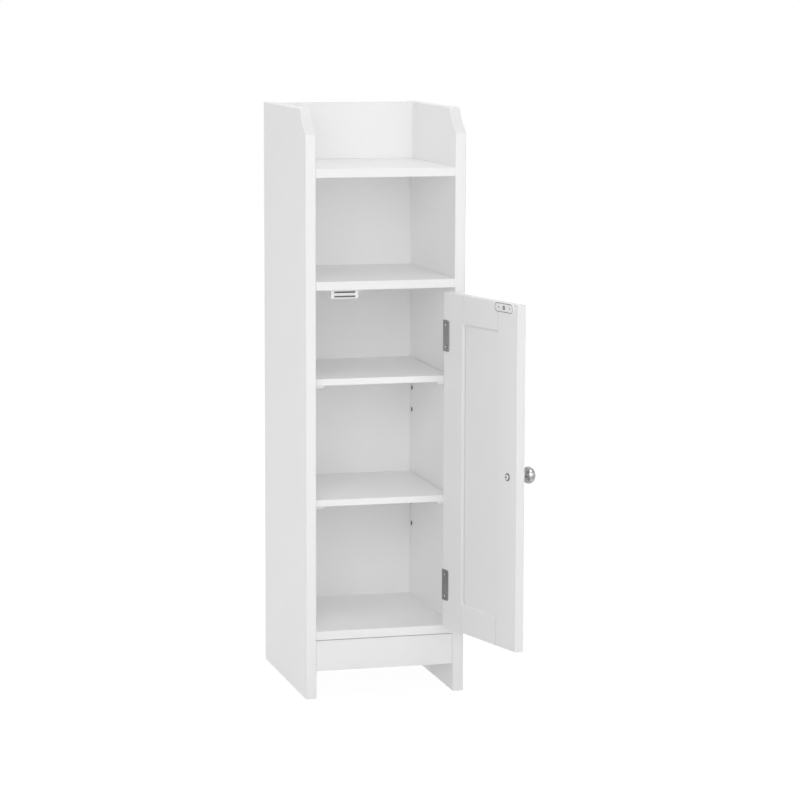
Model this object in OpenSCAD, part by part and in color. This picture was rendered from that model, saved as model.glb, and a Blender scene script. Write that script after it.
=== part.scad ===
// Narrow bathroom cabinet with an open tray, an open compartment and a framed door.
// All lengths are millimetres. The origin is the outer front corner of the left foot on
// the floor, +X points to the right, +Y to the back and +Z up.
// The door is drawn closed and then swung open about its hinge pins.

/* [Carcass] */
// Width over both side panels
cabinet_w = 225; // [190:1:320]
// Depth of the side panels
cabinet_d = 260; // [230:1:360]
// Height of the side panels
cabinet_h = 810; // [760:1:1000]
// Thickness of the side panels
side_t = 15; // [14:0.5:20]
// Thickness of the fixed boards: shelves, tray back and toe kick
board_t = 12; // [12:0.5:16]
// Thickness of the back panel
back_panel_t = 3; // [2.5:0.5:5]
// Distance from the back panel's rear face to the side panels' rear edges
back_setback = 26; // [10:1:50]
// Depth of the groove that holds the back panel
groove_depth = 5; // [3:0.5:7]
// Play of the back panel in its groove, on each side
groove_play = 0.1; // [0.1:0.05:0.3]
// Radius of the side panels' front edges
side_edge_r = 2; // [0.5:0.25:3]
// Radius of the boards' front edges
board_edge_r = 0.8; // [0.3:0.1:1.5]

/* [Heights] */
// Depth of the open tray, from the top of the sides down to the top shelf
tray_depth = 80; // [60:1:110]
// Clear height of the open compartment under the tray
open_compartment_h = 140.5; // [110:0.5:180]
// Gap under the toe kick
kick_clear = 38; // [20:1:60]
// Height of the toe kick
kick_h = 42.5; // [40:0.5:70]
// Seam between the toe kick and the bottom shelf
kick_seam = 2; // [0:0.1:3]
// Set-back of the toe kick from the front
kick_setback = 5; // [2:0.5:30]

/* [Corner cut of the side panels] */
// How far back the cut starts at the top
cut_top_y = 35; // [30:1:50]
// How far back the middle point of the cut lies
cut_mid_y = 22; // [15:1:28]
// Drop of the middle point below the top
cut_mid_drop = 17.5; // [12:0.5:22]
// Drop of the front point below the top
cut_front_drop = 33.5; // [26:0.5:45]

/* [Adjustable shelves] */
// Thickness of the two adjustable shelves
loose_shelf_t = 9; // [8:0.5:14]
// Gap between the closed door and the shelves' front edges
loose_front_gap = 2.5; // [1.5:0.5:20]
// Gap between the shelves and the back panel
loose_rear_gap = 0.5; // [0.3:0.1:3]
// Gap between the shelves and each side panel
loose_side_gap = 1.3; // [1.3:0.1:2.5]
// Height of the upper shelf's support holes above the bottom shelf
upper_support_h = 335.5; // [290:0.5:345]
// Height of the lower shelf's support holes above the bottom shelf
lower_support_h = 168; // [110:0.5:190]

/* [Shelf supports] */
// Diameter of the support holes
support_hole_d = 5; // [4:0.5:6]
// Depth of the support holes
support_hole_depth = 9; // [7:0.5:11]
// Distance of the front column of holes from the front edges of the sides
support_front = 28; // [26:1:50]
// Distance of the rear column of holes from the rear edges of the sides
support_rear = 37; // [34:1:50]
// Spacing of the holes in a column
support_pitch = 32; // [25:1:40]
// Holes in each set, the uppermost one in use
support_holes = 3; // [1:1:3]
// Radial play of a support's pin in its hole
support_play = 0.05; // [0.02:0.01:0.15]
// Radius of a support's body
support_r = 3.25; // [3:0.25:5]
// Height of the support's flat seat above the pin axis
support_seat = 3.5; // [2.5:0.25:3.75]
// Reach of a support's body into the compartment
support_reach = 18; // [10:0.5:22]

/* [Board joints] */
// Distance of the first cam from the front edge of a shelf
cam_inset_front = 50; // [40:1:60]
// Distance of the rear cam from the back panel
cam_inset_rear = 41; // [30:1:50]
// Distance from the cam's centre to the side panel
cam_reach = 24; // [22:0.5:30]
// Radius of the bore for a cam
cam_bore_r = 7.5; // [6.5:0.25:8]
// Reach of the cam's bore past the bolt axis
cam_past_axis = 3.5; // [3.2:0.1:3.8]
// Radial play of a cam in its bore
cam_play = 0.1; // [0.05:0.05:0.2]
// Radius of the bolt's thread
bolt_thread_r = 2.5; // [2:0.1:3]
// Length of the bolt's thread in the side panel
bolt_thread_l = 11; // [8:0.5:12]
// Radius of the bore for the bolt in a board's end
bolt_bore_r = 3.5; // [3.2:0.1:4]
// Radius of the bolt's round head
bolt_head_r = 2.8; // [2.4:0.1:3]
// Radius of the dowel holes
dowel_r = 3; // [2.5:0.25:4]
// Length of a dowel in the side panel
dowel_in_side = 11; // [8:0.5:12]
// Length of a dowel in a board
dowel_in_board = 18; // [14:0.5:22]
// Spacing from a shelf's cam to its dowel
dowel_step = 32; // [20:1:34]
// Radial play of dowels and bolts in their holes
joint_play = 0.05; // [0.02:0.01:0.1]
// Height of the tray back's cam above the top shelf
tray_cam_h = 25; // [15:1:30]
// Distance of the tray back's dowel below the top
tray_dowel_drop = 22; // [10:1:24]
// Height of the toe kick's cam above its lower edge
kick_cam_h = 14; // [10:1:16]
// Distance of the toe kick's dowel below its upper edge
kick_dowel_drop = 9; // [7:1:12]
// Distance of the back panel's screws from the side panels
back_screw_inset = 45; // [20:1:60]

/* [Door] */
// Thickness of the door frame
door_t = 12.5; // [12:0.5:16]
// How far the closed door's front lies behind the side panels' front edges
door_recess = 0.5; // [0:0.25:1.5]
// Gap at the free edge of the door
door_free_gap = 1.5; // [1:0.25:3]
// Gap above the door
door_top_gap = 4.5; // [2:0.25:5]
// Gap below the door
door_bottom_gap = 1.25; // [1:0.25:4]
// Width of the flat of the two stiles
stile_w = 49.5; // [42:0.5:56]
// Height of the flat of the two rails
rail_w = 38; // [34:0.5:55]
// Depth of the field below the frame, on both faces
field_depth = 3.5; // [2:0.25:4]
// Width of the bevel around the field
bevel_w = 2.1; // [1:0.1:4]
// Depth of the groove that holds the centre panel and the rails' tongues
frame_groove = 6; // [4:0.5:8]
// Play of the panel and the tongues in the groove
frame_play = 0.1; // [0.05:0.05:0.2]
// Radius of the door's outer edges
door_edge_r = 1; // [0.3:0.1:1.5]
// How far the door stands open
open_angle = 104.8; // [20:0.1:170]

/* [Hinges] */
// Height of a hinge
hinge_h = 43; // [36:1:60]
// Distance from the door's ends to the middle of a hinge
hinge_end = 59.5; // [50:0.5:80]
// Thickness of the hinge leaves
leaf_t = 1; // [0.8:0.1:1.2]
// Gap between the two leaves while the door is closed
leaf_gap = 0.5; // [0.3:0.1:1]
// Radius of the hinge pin
hinge_pin_r = 1.5; // [1.2:0.1:1.8]
// Radial play of the hinge pin
hinge_play = 0.05; // [0.03:0.01:0.08]
// Outer radius of the knuckles
knuckle_r = 3; // [2.5:0.1:3.4]
// Number of knuckles
knuckle_count = 5; // [3:2:7]
// Axial gap between the knuckles
knuckle_gap = 0.3; // [0.2:0.05:0.5]
// Distance of the pin axis in front of the side panels' front edges
pin_front = 5.3; // [3.6:0.1:6]
// Width of the leaf's plate on the door's inner face
door_plate_w = 15.8; // [14:0.1:20]
// How far back the frame leaf reaches on the side panel
frame_leaf_back = 24; // [23:0.5:28]
// Corner radius of the leaves
leaf_corner_r = 3.5; // [1:0.5:5]
// Spacing of the two screws in a leaf
hinge_screw_pitch = 30; // [24:1:30]
// Distance of the door leaf's screws from the door's edge
door_screw_in = 7.8; // [7:0.1:9]
// Distance of the frame leaf's screws from its rear edge
frame_screw_in = 5.5; // [4.5:0.1:6]

/* [Screws] */
// Head radius of the countersunk screws
screw_head_r = 2.9; // [2.5:0.1:3]
// Height of the countersunk head
screw_head_h = 1.8; // [1.4:0.1:2]
// Shank radius of the countersunk screws
screw_r = 1.4; // [1.2:0.1:1.5]
// Play around every wood screw
screw_play = 0.05; // [0.02:0.01:0.1]
// Length of the hinge screws
hinge_screw_l = 10; // [8:0.5:10.5]
// Length of the back panel's screws
back_screw_l = 16; // [12:0.5:20]
// Head radius of the back panel's screws
back_screw_head_r = 3.5; // [3:0.1:4]
// Head height of the back panel's screws
back_screw_head_h = 1.6; // [1.2:0.1:2]

/* [Magnetic catch] */
// Length of the strike plate
strike_l = 46; // [40:0.5:50]
// Width of the strike plate
strike_w = 13; // [11:0.5:13]
// Thickness of the strike plate
strike_t = 1; // [0.8:0.1:1.5]
// Distance of the strike plate's middle from the door's free edge
strike_inset = 34; // [30:0.5:38]
// Distance of the strike plate's middle below the door's top
strike_drop = 6.8; // [6.8:0.1:9]
// Distance of the two dimples from the strike plate's middle
dimple_x = 14.4; // [10:0.2:16]
// Gap between the closed strike plate and the pole plates
strike_gap = 0.3; // [0.3:0.1:1]
// Offset of the catch from the strike plate's middle
catch_offset = 8; // [-4:0.5:9]
// Width of the catch's body
catch_w = 38.5; // [35:0.5:42]
// Width over the catch's ears
catch_ear_w = 56; // [52:0.5:60]
// Depth of the catch's body
catch_d = 14; // [12:0.5:18]
// Thickness of the ears
catch_ear_t = 2.2; // [2:0.1:3]
// Depth of the ears
catch_ear_d = 9; // [8:0.5:11]
// Thickness of the catch's walls below and behind the pole plates
catch_wall = 2.1; // [1:0.1:2.6]
// Thickness of the catch's front wall, ahead of the magnet
catch_face = 1.5; // [1:0.1:2.5]
// Width of the pole plates
pole_w = 29; // [24:0.5:31]
// Thickness of the pole plates
pole_t = 1.5; // [0.8:0.1:2]
// Spacing of the pole plates' middles
pole_spacing = 5.8; // [5:0.1:6.6]
// Height of the poles' middle above the strike plate's middle
pole_rise = 4; // [2:0.1:4.4]
// How far the pole plates stand out of the body
pole_proud = 1; // [0.5:0.1:1.5]
// Play of the pole plates in the body
pole_play = 0.1; // [0.05:0.05:0.2]

/* [Knob] */
// Distance of the knob from the door's free edge
knob_inset = 22.5; // [18:0.5:28]
// Height of the knob above the door's lower edge
knob_h = 233.75; // [180:0.25:280]
// Radius of the knob's head
knob_r = 11.75; // [9:0.25:13]
// Projection of the knob from the door
knob_reach = 28.5; // [25:0.5:34]
// Half the thickness of the knob's rounded head
knob_dome = 8.25; // [6:0.25:9]
// Radius of the knob's foot
knob_foot_r = 6.5; // [5:0.25:8]
// Height of the knob's foot and the fillet above it
knob_foot_h = 4; // [3:0.1:5]
// Radius of the knob's waist
knob_waist_r = 4.2; // [4:0.1:5]
// Radius of the knob screw's shank
knob_screw_r = 2; // [1.6:0.1:2.2]
// Length of the thread in the knob
knob_thread_l = 11; // [8:0.5:13]
// Radius of the knob screw's head
knob_screw_head_r = 5; // [3.5:0.25:6]
// Height of the knob screw's head
knob_screw_head_h = 2; // [1.4:0.1:2.2]
// Play around the knob screw
knob_screw_play = 0.1; // [0.05:0.05:0.2]

/* [Hidden] */
$fn = 48;
// Extra length of a cut past the face that it opens
over = 1;

inner_w = cabinet_w - 2 * side_t;
right_face_x = cabinet_w - side_t;

back_rear_y = cabinet_d - back_setback;
back_front_y = back_rear_y - back_panel_t;
tray_back_y = back_rear_y - board_t;

bottom_under_z = kick_clear + kick_h + kick_seam;
bottom_top_z = bottom_under_z + board_t;
top_top_z = cabinet_h - tray_depth;
top_under_z = top_top_z - board_t;
middle_top_z = top_under_z - open_compartment_h;
middle_under_z = middle_top_z - board_t;

// The closed door's faces and ends
door_front_y = door_recess;
door_back_y = door_recess + door_t;
hinge_gap = 2 * leaf_t + leaf_gap;
door_free_x = side_t + door_free_gap;
door_hinge_x = right_face_x - hinge_gap;
door_bottom_z = bottom_top_z + door_bottom_gap;
door_top_z = middle_under_z - door_top_gap;
door_w = door_hinge_x - door_free_x;
door_h = door_top_z - door_bottom_z;
panel_t = door_t - 2 * field_depth;
frame_in = stile_w + bevel_w;
rail_in = rail_w + bevel_w;

// The hinge pins' common axis
pin_x = right_face_x - leaf_t - leaf_gap / 2;
pin_y = -pin_front;
hinge_bore_r = hinge_pin_r + hinge_play;
leaf_front_y = pin_y + knuckle_r + knuckle_gap;
upper_hinge_z = door_top_z - hinge_end;
lower_hinge_z = door_bottom_z + hinge_end;
pin_head_r = hinge_pin_r + 0.8;
pin_head_h = 1;

strike_x = door_free_x + strike_inset;
strike_z = door_top_z - strike_drop;
catch_x = strike_x + catch_offset;
pole_z = strike_z + pole_rise;
pole_front_y = door_back_y + strike_t + strike_gap;
catch_front_y = pole_front_y + pole_proud;
pole_half = pole_spacing / 2 + pole_t / 2 + pole_play;
catch_bottom_z = pole_z - pole_half - catch_wall;
catch_screw_x = (catch_w + catch_ear_w) / 4;
catch_screw_l = catch_ear_t + board_t - 4;

knob_x = door_free_x + knob_inset;
knob_z = door_bottom_z + knob_h;

// Shelf supports: columns and heights
support_ys = [support_front, cabinet_d - support_rear];
upper_support_z = bottom_top_z + upper_support_h;
lower_support_z = bottom_top_z + lower_support_h;
loose_front_y = door_back_y + loose_front_gap;
loose_rear_y = back_front_y - loose_rear_gap;

// Joint places are [y, z, facing]: a cam opens downward at facing 0, to the rear at 1
cam_rear_y = back_front_y - cam_inset_rear;
shelf_under_zs = [bottom_under_z, middle_under_z, top_under_z];
half_t = board_t / 2;

function shelf_cams(under_z) = [
    for (y = [cam_inset_front, cam_rear_y]) [y, under_z + half_t, 0]
];
function shelf_dowels(under_z) = [
    for (y = [cam_inset_front + dowel_step, cam_rear_y - dowel_step]) [y, under_z + half_t, 0]
];
tray_back_cams = [[tray_back_y + half_t, top_top_z + tray_cam_h, 1]];
tray_back_dowels = [[tray_back_y + half_t, cabinet_h - tray_dowel_drop, 1]];
kick_cams = [[kick_setback + half_t, kick_clear + kick_cam_h, 1]];
kick_dowels = [[kick_setback + half_t, kick_clear + kick_h - kick_dowel_drop, 1]];
all_cams = concat([for (z = shelf_under_zs) each shelf_cams(z)], tray_back_cams, kick_cams);
all_dowels = concat([for (z = shelf_under_zs) each shelf_dowels(z)], tray_back_dowels, kick_dowels);

paint = [0.94, 0.94, 0.93];
plastic = [0.97, 0.97, 0.97];
hinge_steel = [0.55, 0.55, 0.55];
bright_steel = [0.75, 0.75, 0.76];
beech = [0.8, 0.66, 0.45];

// Outlines

// A section with its two corners at u = 0 rounded
module front_eased(length, thick, r) {
    translate([r, 0]) square([length - r, thick]);
    translate([0, r]) square([r, thick - 2 * r]);
    for (v = [r, thick - r]) translate([r, v]) circle(r);
}

// A rectangle with all four corners rounded
module rounded_rect(w, h, r) {
    translate([r, 0]) square([w - 2 * r, h]);
    translate([0, r]) square([w, h - 2 * r]);
    for (x = [r, w - r], y = [r, h - r]) translate([x, y]) circle(r);
}

// Two bars with round ends: the shape of the strike plate
module stadium(length, width) {
    straight = length - width;
    translate([-straight / 2, -width / 2]) square([straight, width]);
    for (side = [-1, 1]) translate([side * straight / 2, 0]) circle(width / 2);
}

// Extrudes an outline drawn in Y and Z along X
module along_x(length) {
    rotate([90, 0, 90]) linear_extrude(length) children();
}

// A board across the cabinet with an eased front edge
module cross_board(y0, y1, z0, thick) {
    translate([side_t, y0, z0])
        along_x(inner_w) front_eased(y1 - y0, thick, board_edge_r);
}

// Repeats

module both_sides() {
    children();
    translate([cabinet_w, 0, 0]) mirror([1, 0, 0]) children();
}

module at_places(places) {
    for (p = places)
        translate([side_t, p[0], p[1]]) rotate([p[2] * 90, 0, 0]) children();
}

// Points local +Z from the left panel's inner face into the cabinet
module at_support_holes(top_z, count) {
    for (y = support_ys, i = [0:count - 1])
        translate([side_t, y, top_z - i * support_pitch]) rotate([0, 90, 0]) children();
}

// Fasteners

// A countersunk wood screw along -Z, its head flush at Z = 0
module countersunk_screw(length) {
    tip_l = 2.5;
    difference() {
        rotate_extrude()
            polygon([
                [0, 0], [screw_head_r, 0], [screw_r, -screw_head_h],
                [screw_r, tip_l - length], [0, -length]
            ]);
        cross_recess(screw_head_r, screw_head_h / 2);
    }
}

module countersunk_hole(length) {
    wide = screw_head_r + screw_play;
    narrow = screw_r + screw_play;
    rotate_extrude()
        polygon([
            [0, over], [wide, over], [wide, 0], [narrow, -screw_head_h],
            [narrow, -length - screw_play], [0, -length - screw_play]
        ]);
}

// A cross-shaped driver recess in a face at Z = 0
module cross_recess(reach, depth) {
    slot = reach * 0.3;
    for (turn = [0, 90])
        rotate(turn) translate([-reach * 0.6, -slot / 2, -depth])
            cube([reach * 1.2, slot, depth + over]);
}

module back_screw() {
    difference() {
        union() {
            cylinder(r = back_screw_head_r, h = back_screw_head_h);
            translate([0, 0, -back_screw_l]) cylinder(r = screw_r, h = back_screw_l);
        }
        translate([0, 0, back_screw_head_h])
            cross_recess(back_screw_head_r * 0.8, back_screw_head_h / 2);
    }
}

// A cam's bore and its bolt's bore, seen from the bolt axis on the side panel's inner face
module cam_bore() {
    translate([cam_reach, 0, -half_t - over])
        cylinder(r = cam_bore_r, h = half_t + cam_past_axis + over);
    rotate([0, 90, 0]) translate([0, 0, -over]) cylinder(r = bolt_bore_r, h = cam_reach + over);
}

module cam_lock() {
    r = cam_bore_r - cam_play;
    slot = bolt_head_r + cam_play * 3;
    difference() {
        translate([cam_reach, 0, -half_t]) cylinder(r = r, h = half_t + cam_past_axis - cam_play);
        translate([cam_reach - cam_bore_r - over, -slot, -slot])
            cube([cam_bore_r + over + slot, 2 * slot, 2 * slot + over]);
        translate([cam_reach, 0, -half_t]) mirror([0, 0, 1]) cross_recess(r * 0.6, half_t / 4);
    }
}

module bolt_hole() {
    rotate([0, 90, 0]) translate([0, 0, -bolt_thread_l - joint_play])
        cylinder(r = bolt_thread_r, h = bolt_thread_l + joint_play + over);
}

// A bolt from the side panel into the cam's centre, with a waist behind its round head
module cam_bolt() {
    neck_r = bolt_head_r * 0.6;
    thread_r = bolt_thread_r - joint_play;
    collar_r = bolt_bore_r - joint_play;
    waist_x = cam_reach - cam_bore_r;
    rotate([0, 90, 0]) {
        rotate_extrude()
            polygon([
                [0, -bolt_thread_l], [thread_r * 0.7, -bolt_thread_l], [thread_r, 1.5 - bolt_thread_l],
                [thread_r, 0], [collar_r, 0], [collar_r, 2], [bolt_head_r, 2.6],
                [bolt_head_r, waist_x], [neck_r, waist_x + 1], [neck_r, cam_reach], [0, cam_reach]
            ]);
        translate([0, 0, cam_reach]) sphere(bolt_head_r);
    }
}

module dowel_hole() {
    rotate([0, 90, 0]) translate([0, 0, -dowel_in_side - joint_play])
        cylinder(r = dowel_r, h = dowel_in_side + dowel_in_board + 2 * joint_play);
}

module dowel() {
    r = dowel_r - joint_play;
    chamfer = 0.8;
    rotate([0, 90, 0]) rotate_extrude()
        polygon([
            [0, -dowel_in_side], [r - chamfer, -dowel_in_side], [r, chamfer - dowel_in_side],
            [r, dowel_in_board - chamfer], [r - chamfer, dowel_in_board], [0, dowel_in_board]
        ]);
}

module at_back_screws() {
    for (x = [side_t + back_screw_inset, right_face_x - back_screw_inset],
         z = [bottom_under_z + half_t, middle_under_z + half_t])
        translate([x, back_rear_y, z]) rotate([-90, 0, 0]) children();
}

module back_screw_hole() {
    translate([0, 0, -back_screw_l - over])
        cylinder(r = screw_r + screw_play, h = back_screw_l + 2 * over);
}

// Carcass

module side_blank() {
    translate([side_t, 0, 0]) rotate(90)
        linear_extrude(cabinet_h) front_eased(cabinet_d, side_t, side_edge_r);
}

module corner_cut() {
    translate([-over, 0, 0]) along_x(side_t + 2 * over)
        polygon([
            [-over, cabinet_h + over], [cut_top_y, cabinet_h + over], [cut_top_y, cabinet_h],
            [cut_mid_y, cabinet_h - cut_mid_drop], [0, cabinet_h - cut_front_drop],
            [-over, cabinet_h - cut_front_drop]
        ]);
}

module back_groove() {
    translate([side_t - groove_depth, back_front_y - groove_play, bottom_under_z - groove_play])
        cube([
            groove_depth + over,
            back_panel_t + 2 * groove_play,
            top_under_z - bottom_under_z + 2 * groove_play
        ]);
}

// The left panel, which the right one mirrors
module side_board() {
    difference() {
        side_blank();
        corner_cut();
        back_groove();
        at_places(all_cams) bolt_hole();
        at_places(all_dowels) dowel_hole();
        for (z = [upper_support_z, lower_support_z])
            at_support_holes(z, support_holes)
                translate([0, 0, -support_hole_depth])
                    cylinder(r = support_hole_d / 2, h = support_hole_depth + over);
    }
}

module left_side_panel() {
    color(paint) side_board();
}

module right_side_panel() {
    color(paint) difference() {
        translate([cabinet_w, 0, 0]) mirror([1, 0, 0]) side_board();
        for (z = [upper_hinge_z, lower_hinge_z]) at_frame_screws(z) countersunk_hole(hinge_screw_l);
    }
}

module back_panel() {
    w = inner_w + 2 * (groove_depth - groove_play);
    color(paint) difference() {
        translate([side_t - groove_depth + groove_play, back_front_y, bottom_under_z])
            cube([w, back_panel_t, top_under_z - bottom_under_z]);
        at_back_screws() back_screw_hole();
    }
}

module fixed_shelf(under_z, rear_y) {
    difference() {
        cross_board(0, rear_y, under_z, board_t);
        both_sides() {
            at_places(shelf_cams(under_z)) cam_bore();
            at_places(shelf_dowels(under_z)) dowel_hole();
        }
    }
}

module top_shelf() {
    color(paint) fixed_shelf(top_under_z, back_rear_y);
}

module middle_shelf() {
    color(paint) difference() {
        fixed_shelf(middle_under_z, back_front_y);
        at_back_screws() back_screw_hole();
        at_catch_screws() countersunk_hole(catch_screw_l);
    }
}

module bottom_shelf() {
    color(paint) difference() {
        fixed_shelf(bottom_under_z, back_front_y);
        at_back_screws() back_screw_hole();
    }
}

// A board that stands upright between the side panels, eased along its front edges
module upright_board(y0, z0, height) {
    translate([side_t, y0, z0]) along_x(inner_w) rotate(90) mirror([0, 1])
        front_eased_both(height, board_t, board_edge_r);
}

// A section with its two front corners rounded, drawn with its height along u
module front_eased_both(height, thick, r) {
    translate([0, r]) square([height, thick - r]);
    translate([r, 0]) square([height - 2 * r, r]);
    for (u = [r, height - r]) translate([u, r]) circle(r);
}

module tray_back_board() {
    color(paint) difference() {
        upright_board(tray_back_y, top_top_z, tray_depth);
        both_sides() {
            at_places(tray_back_cams) cam_bore();
            at_places(tray_back_dowels) dowel_hole();
        }
    }
}

module toe_kick() {
    color(paint) difference() {
        upright_board(kick_setback, kick_clear, kick_h);
        both_sides() {
            at_places(kick_cams) cam_bore();
            at_places(kick_dowels) dowel_hole();
        }
    }
}

module adjustable_shelf(support_z) {
    translate([side_t + loose_side_gap, loose_front_y, support_z + support_seat])
        along_x(inner_w - 2 * loose_side_gap)
            front_eased(loose_rear_y - loose_front_y, loose_shelf_t, board_edge_r);
}

module upper_adjustable_shelf() {
    color(paint) adjustable_shelf(upper_support_z);
}

module lower_adjustable_shelf() {
    color(paint) adjustable_shelf(lower_support_z);
}

// A plastic support: a pin in the panel and, a little above the pin's axis, a round body
// with a flat seat and a domed end
module shelf_support() {
    pin_l = support_hole_depth - over;
    flat_h = 0.7 * support_r;
    translate([0, 0, -pin_l]) cylinder(r = support_hole_d / 2 - support_play, h = pin_l);
    translate([flat_h - support_seat, 0, 0]) intersection() {
        union() {
            cylinder(r = support_r, h = support_reach - support_r);
            translate([0, 0, support_reach - support_r]) sphere(support_r);
        }
        translate([-flat_h, -support_r, 0])
            cube([flat_h + support_r, 2 * support_r, support_reach]);
    }
}

module support_set(z) {
    both_sides() at_support_holes(z, 1) shelf_support();
}

module upper_shelf_supports() {
    color(plastic) support_set(upper_support_z);
}

module lower_shelf_supports() {
    color(plastic) support_set(lower_support_z);
}

module cam_locks() {
    color(bright_steel) both_sides() at_places(all_cams) cam_lock();
}

module cam_bolts() {
    color(bright_steel) both_sides() at_places(all_cams) cam_bolt();
}

module dowels() {
    color(beech) both_sides() at_places(all_dowels) dowel();
}

module back_panel_screws() {
    color(bright_steel) at_back_screws() back_screw();
}

// Magnetic catch

module at_catch_screws() {
    for (side = [-1, 1])
        translate([catch_x + side * catch_screw_x, catch_front_y + catch_ear_d / 2, middle_under_z - catch_ear_t])
            rotate([180, 0, 0]) children();
}

module catch_housing() {
    ear_z = middle_under_z - catch_ear_t;
    slot_w = pole_w + 2 * pole_play;
    slot_d = catch_d - catch_wall;
    color(plastic) difference() {
        union() {
            translate([catch_x - catch_w / 2, catch_front_y, catch_bottom_z])
                along_x(catch_w)
                    rounded_bottom(catch_d, middle_under_z - catch_bottom_z, 1);
            translate([catch_x - catch_ear_w / 2, catch_front_y, ear_z])
                linear_extrude(catch_ear_t) rounded_rect(catch_ear_w, catch_ear_d, 3);
        }
        for (side = [-1, 1])
            translate([
                catch_x - slot_w / 2,
                catch_front_y - over,
                pole_z + side * pole_spacing / 2 - pole_t / 2 - pole_play
            ])
                cube([slot_w, slot_d + over, pole_t + 2 * pole_play]);
        translate([catch_x - slot_w / 2, catch_front_y + catch_face, pole_z - pole_spacing / 2])
            cube([slot_w, slot_d - catch_face, pole_spacing]);
        at_catch_screws() countersunk_hole(catch_screw_l);
    }
}

// A section with its two lower corners rounded
module rounded_bottom(w, h, r) {
    translate([0, r]) square([w, h - r]);
    translate([r, 0]) square([w - 2 * r, r]);
    for (x = [r, w - r]) translate([x, r]) circle(r);
}

module catch_pole_plates() {
    plate_d = catch_d - catch_wall + pole_proud - pole_play;
    color(bright_steel) for (side = [-1, 1])
        translate([
            catch_x - pole_w / 2,
            pole_front_y,
            pole_z + side * pole_spacing / 2 - pole_t / 2
        ])
            cube([pole_w, plate_d, pole_t]);
}

// The magnet stands in the cell behind the front wall, between the pole plates
module catch_magnet() {
    margin = 1;
    height = pole_spacing - pole_t;
    color([0.3, 0.3, 0.32])
        translate([
            catch_x - pole_w / 2 + margin,
            catch_front_y + catch_face + pole_play,
            pole_z - height / 2
        ])
            cube([pole_w - 2 * margin, catch_d - catch_wall - catch_face - 2 * pole_play, height]);
}

module catch_screws() {
    color(bright_steel) at_catch_screws() countersunk_screw(catch_screw_l);
}

// Door, drawn closed and then opened

module opened() {
    translate([pin_x, pin_y, 0]) rotate(open_angle) translate([-pin_x, -pin_y, 0]) children();
}

// The whole door as one eased slab
module door_slab() {
    translate([door_free_x, door_front_y, door_bottom_z]) intersection() {
        linear_extrude(door_h) rounded_rect(door_w, door_t, door_edge_r);
        along_x(door_w) rounded_rect(door_t, door_h, door_edge_r);
    }
}

// The bevelled field sunk into the front face
module front_field() {
    lip = bevel_w / field_depth * over;
    intersection() {
        translate([0, 0, door_bottom_z]) linear_extrude(door_h)
            polygon([
                [door_free_x + stile_w - lip, door_front_y - over],
                [door_free_x + frame_in, door_front_y + field_depth],
                [door_hinge_x - frame_in, door_front_y + field_depth],
                [door_hinge_x - stile_w + lip, door_front_y - over]
            ]);
        translate([door_free_x, 0, 0]) along_x(door_w)
            polygon([
                [door_front_y - over, door_bottom_z + rail_w - lip],
                [door_front_y + field_depth, door_bottom_z + rail_in],
                [door_front_y + field_depth, door_top_z - rail_in],
                [door_front_y - over, door_top_z - rail_w + lip]
            ]);
    }
}

// Both fields and the opening between them
module door_opening() {
    front_field();
    translate([0, 2 * door_front_y + door_t, 0]) mirror([0, 1, 0]) front_field();
    translate([door_free_x + frame_in, door_front_y, door_bottom_z + rail_in])
        cube([door_w - 2 * frame_in, door_t, door_h - 2 * rail_in]);
}

// The space for the centre panel, grown into the frame by a depth
module panel_space(depth, thick) {
    grow = depth - bevel_w;
    translate([
        door_free_x + stile_w - grow,
        door_front_y + door_t / 2 - thick / 2,
        door_bottom_z + rail_w - grow
    ])
        cube([door_w - 2 * stile_w + 2 * grow, thick, door_h - 2 * rail_w + 2 * grow]);
}

groove_t = panel_t + 2 * frame_play;

// The free side's stile zone: the stile and the bevel strip between the rails
module free_stile_zone() {
    translate([door_free_x - over, -over, door_bottom_z - over])
        cube([stile_w + over, door_t + door_recess + 2 * over, door_h + 2 * over]);
    translate([door_free_x, -over, door_bottom_z + rail_w])
        cube([frame_in, door_t + door_recess + 2 * over, door_h - 2 * rail_w]);
}

module mirrored_in_door() {
    translate([door_free_x + door_hinge_x, 0, 0]) mirror([1, 0, 0]) children();
}

// Groove along the stile's inner edge, for the rails' tongues and the centre panel
module stile_groove() {
    translate([
        door_free_x + stile_w - frame_groove + bevel_w,
        door_front_y + door_t / 2 - groove_t / 2,
        door_bottom_z - over
    ])
        cube([frame_groove + over, groove_t, door_h + 2 * over]);
}

module free_stile_blank() {
    difference() {
        intersection() {
            door_slab();
            free_stile_zone();
        }
        door_opening();
        stile_groove();
    }
}

module knob_place() {
    translate([knob_x, door_front_y, knob_z]) rotate([90, 0, 0]) children();
}

module strike_place() {
    translate([strike_x, door_back_y, strike_z]) rotate([-90, 0, 0]) children();
}

module strike_relief() {
    strike_place() translate([0, 0, strike_t]) countersunk_hole(hinge_screw_l);
}

module door_free_stile() {
    color(paint) opened() difference() {
        free_stile_blank();
        knob_place() translate([0, 0, -door_t - over])
            cylinder(r = knob_screw_r + knob_screw_play, h = door_t + 2 * over);
        strike_relief();
    }
}

module door_hinge_stile() {
    color(paint) opened() difference() {
        mirrored_in_door() free_stile_blank();
        for (z = [upper_hinge_z, lower_hinge_z]) at_door_screws(z) countersunk_hole(hinge_screw_l);
    }
}

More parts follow.
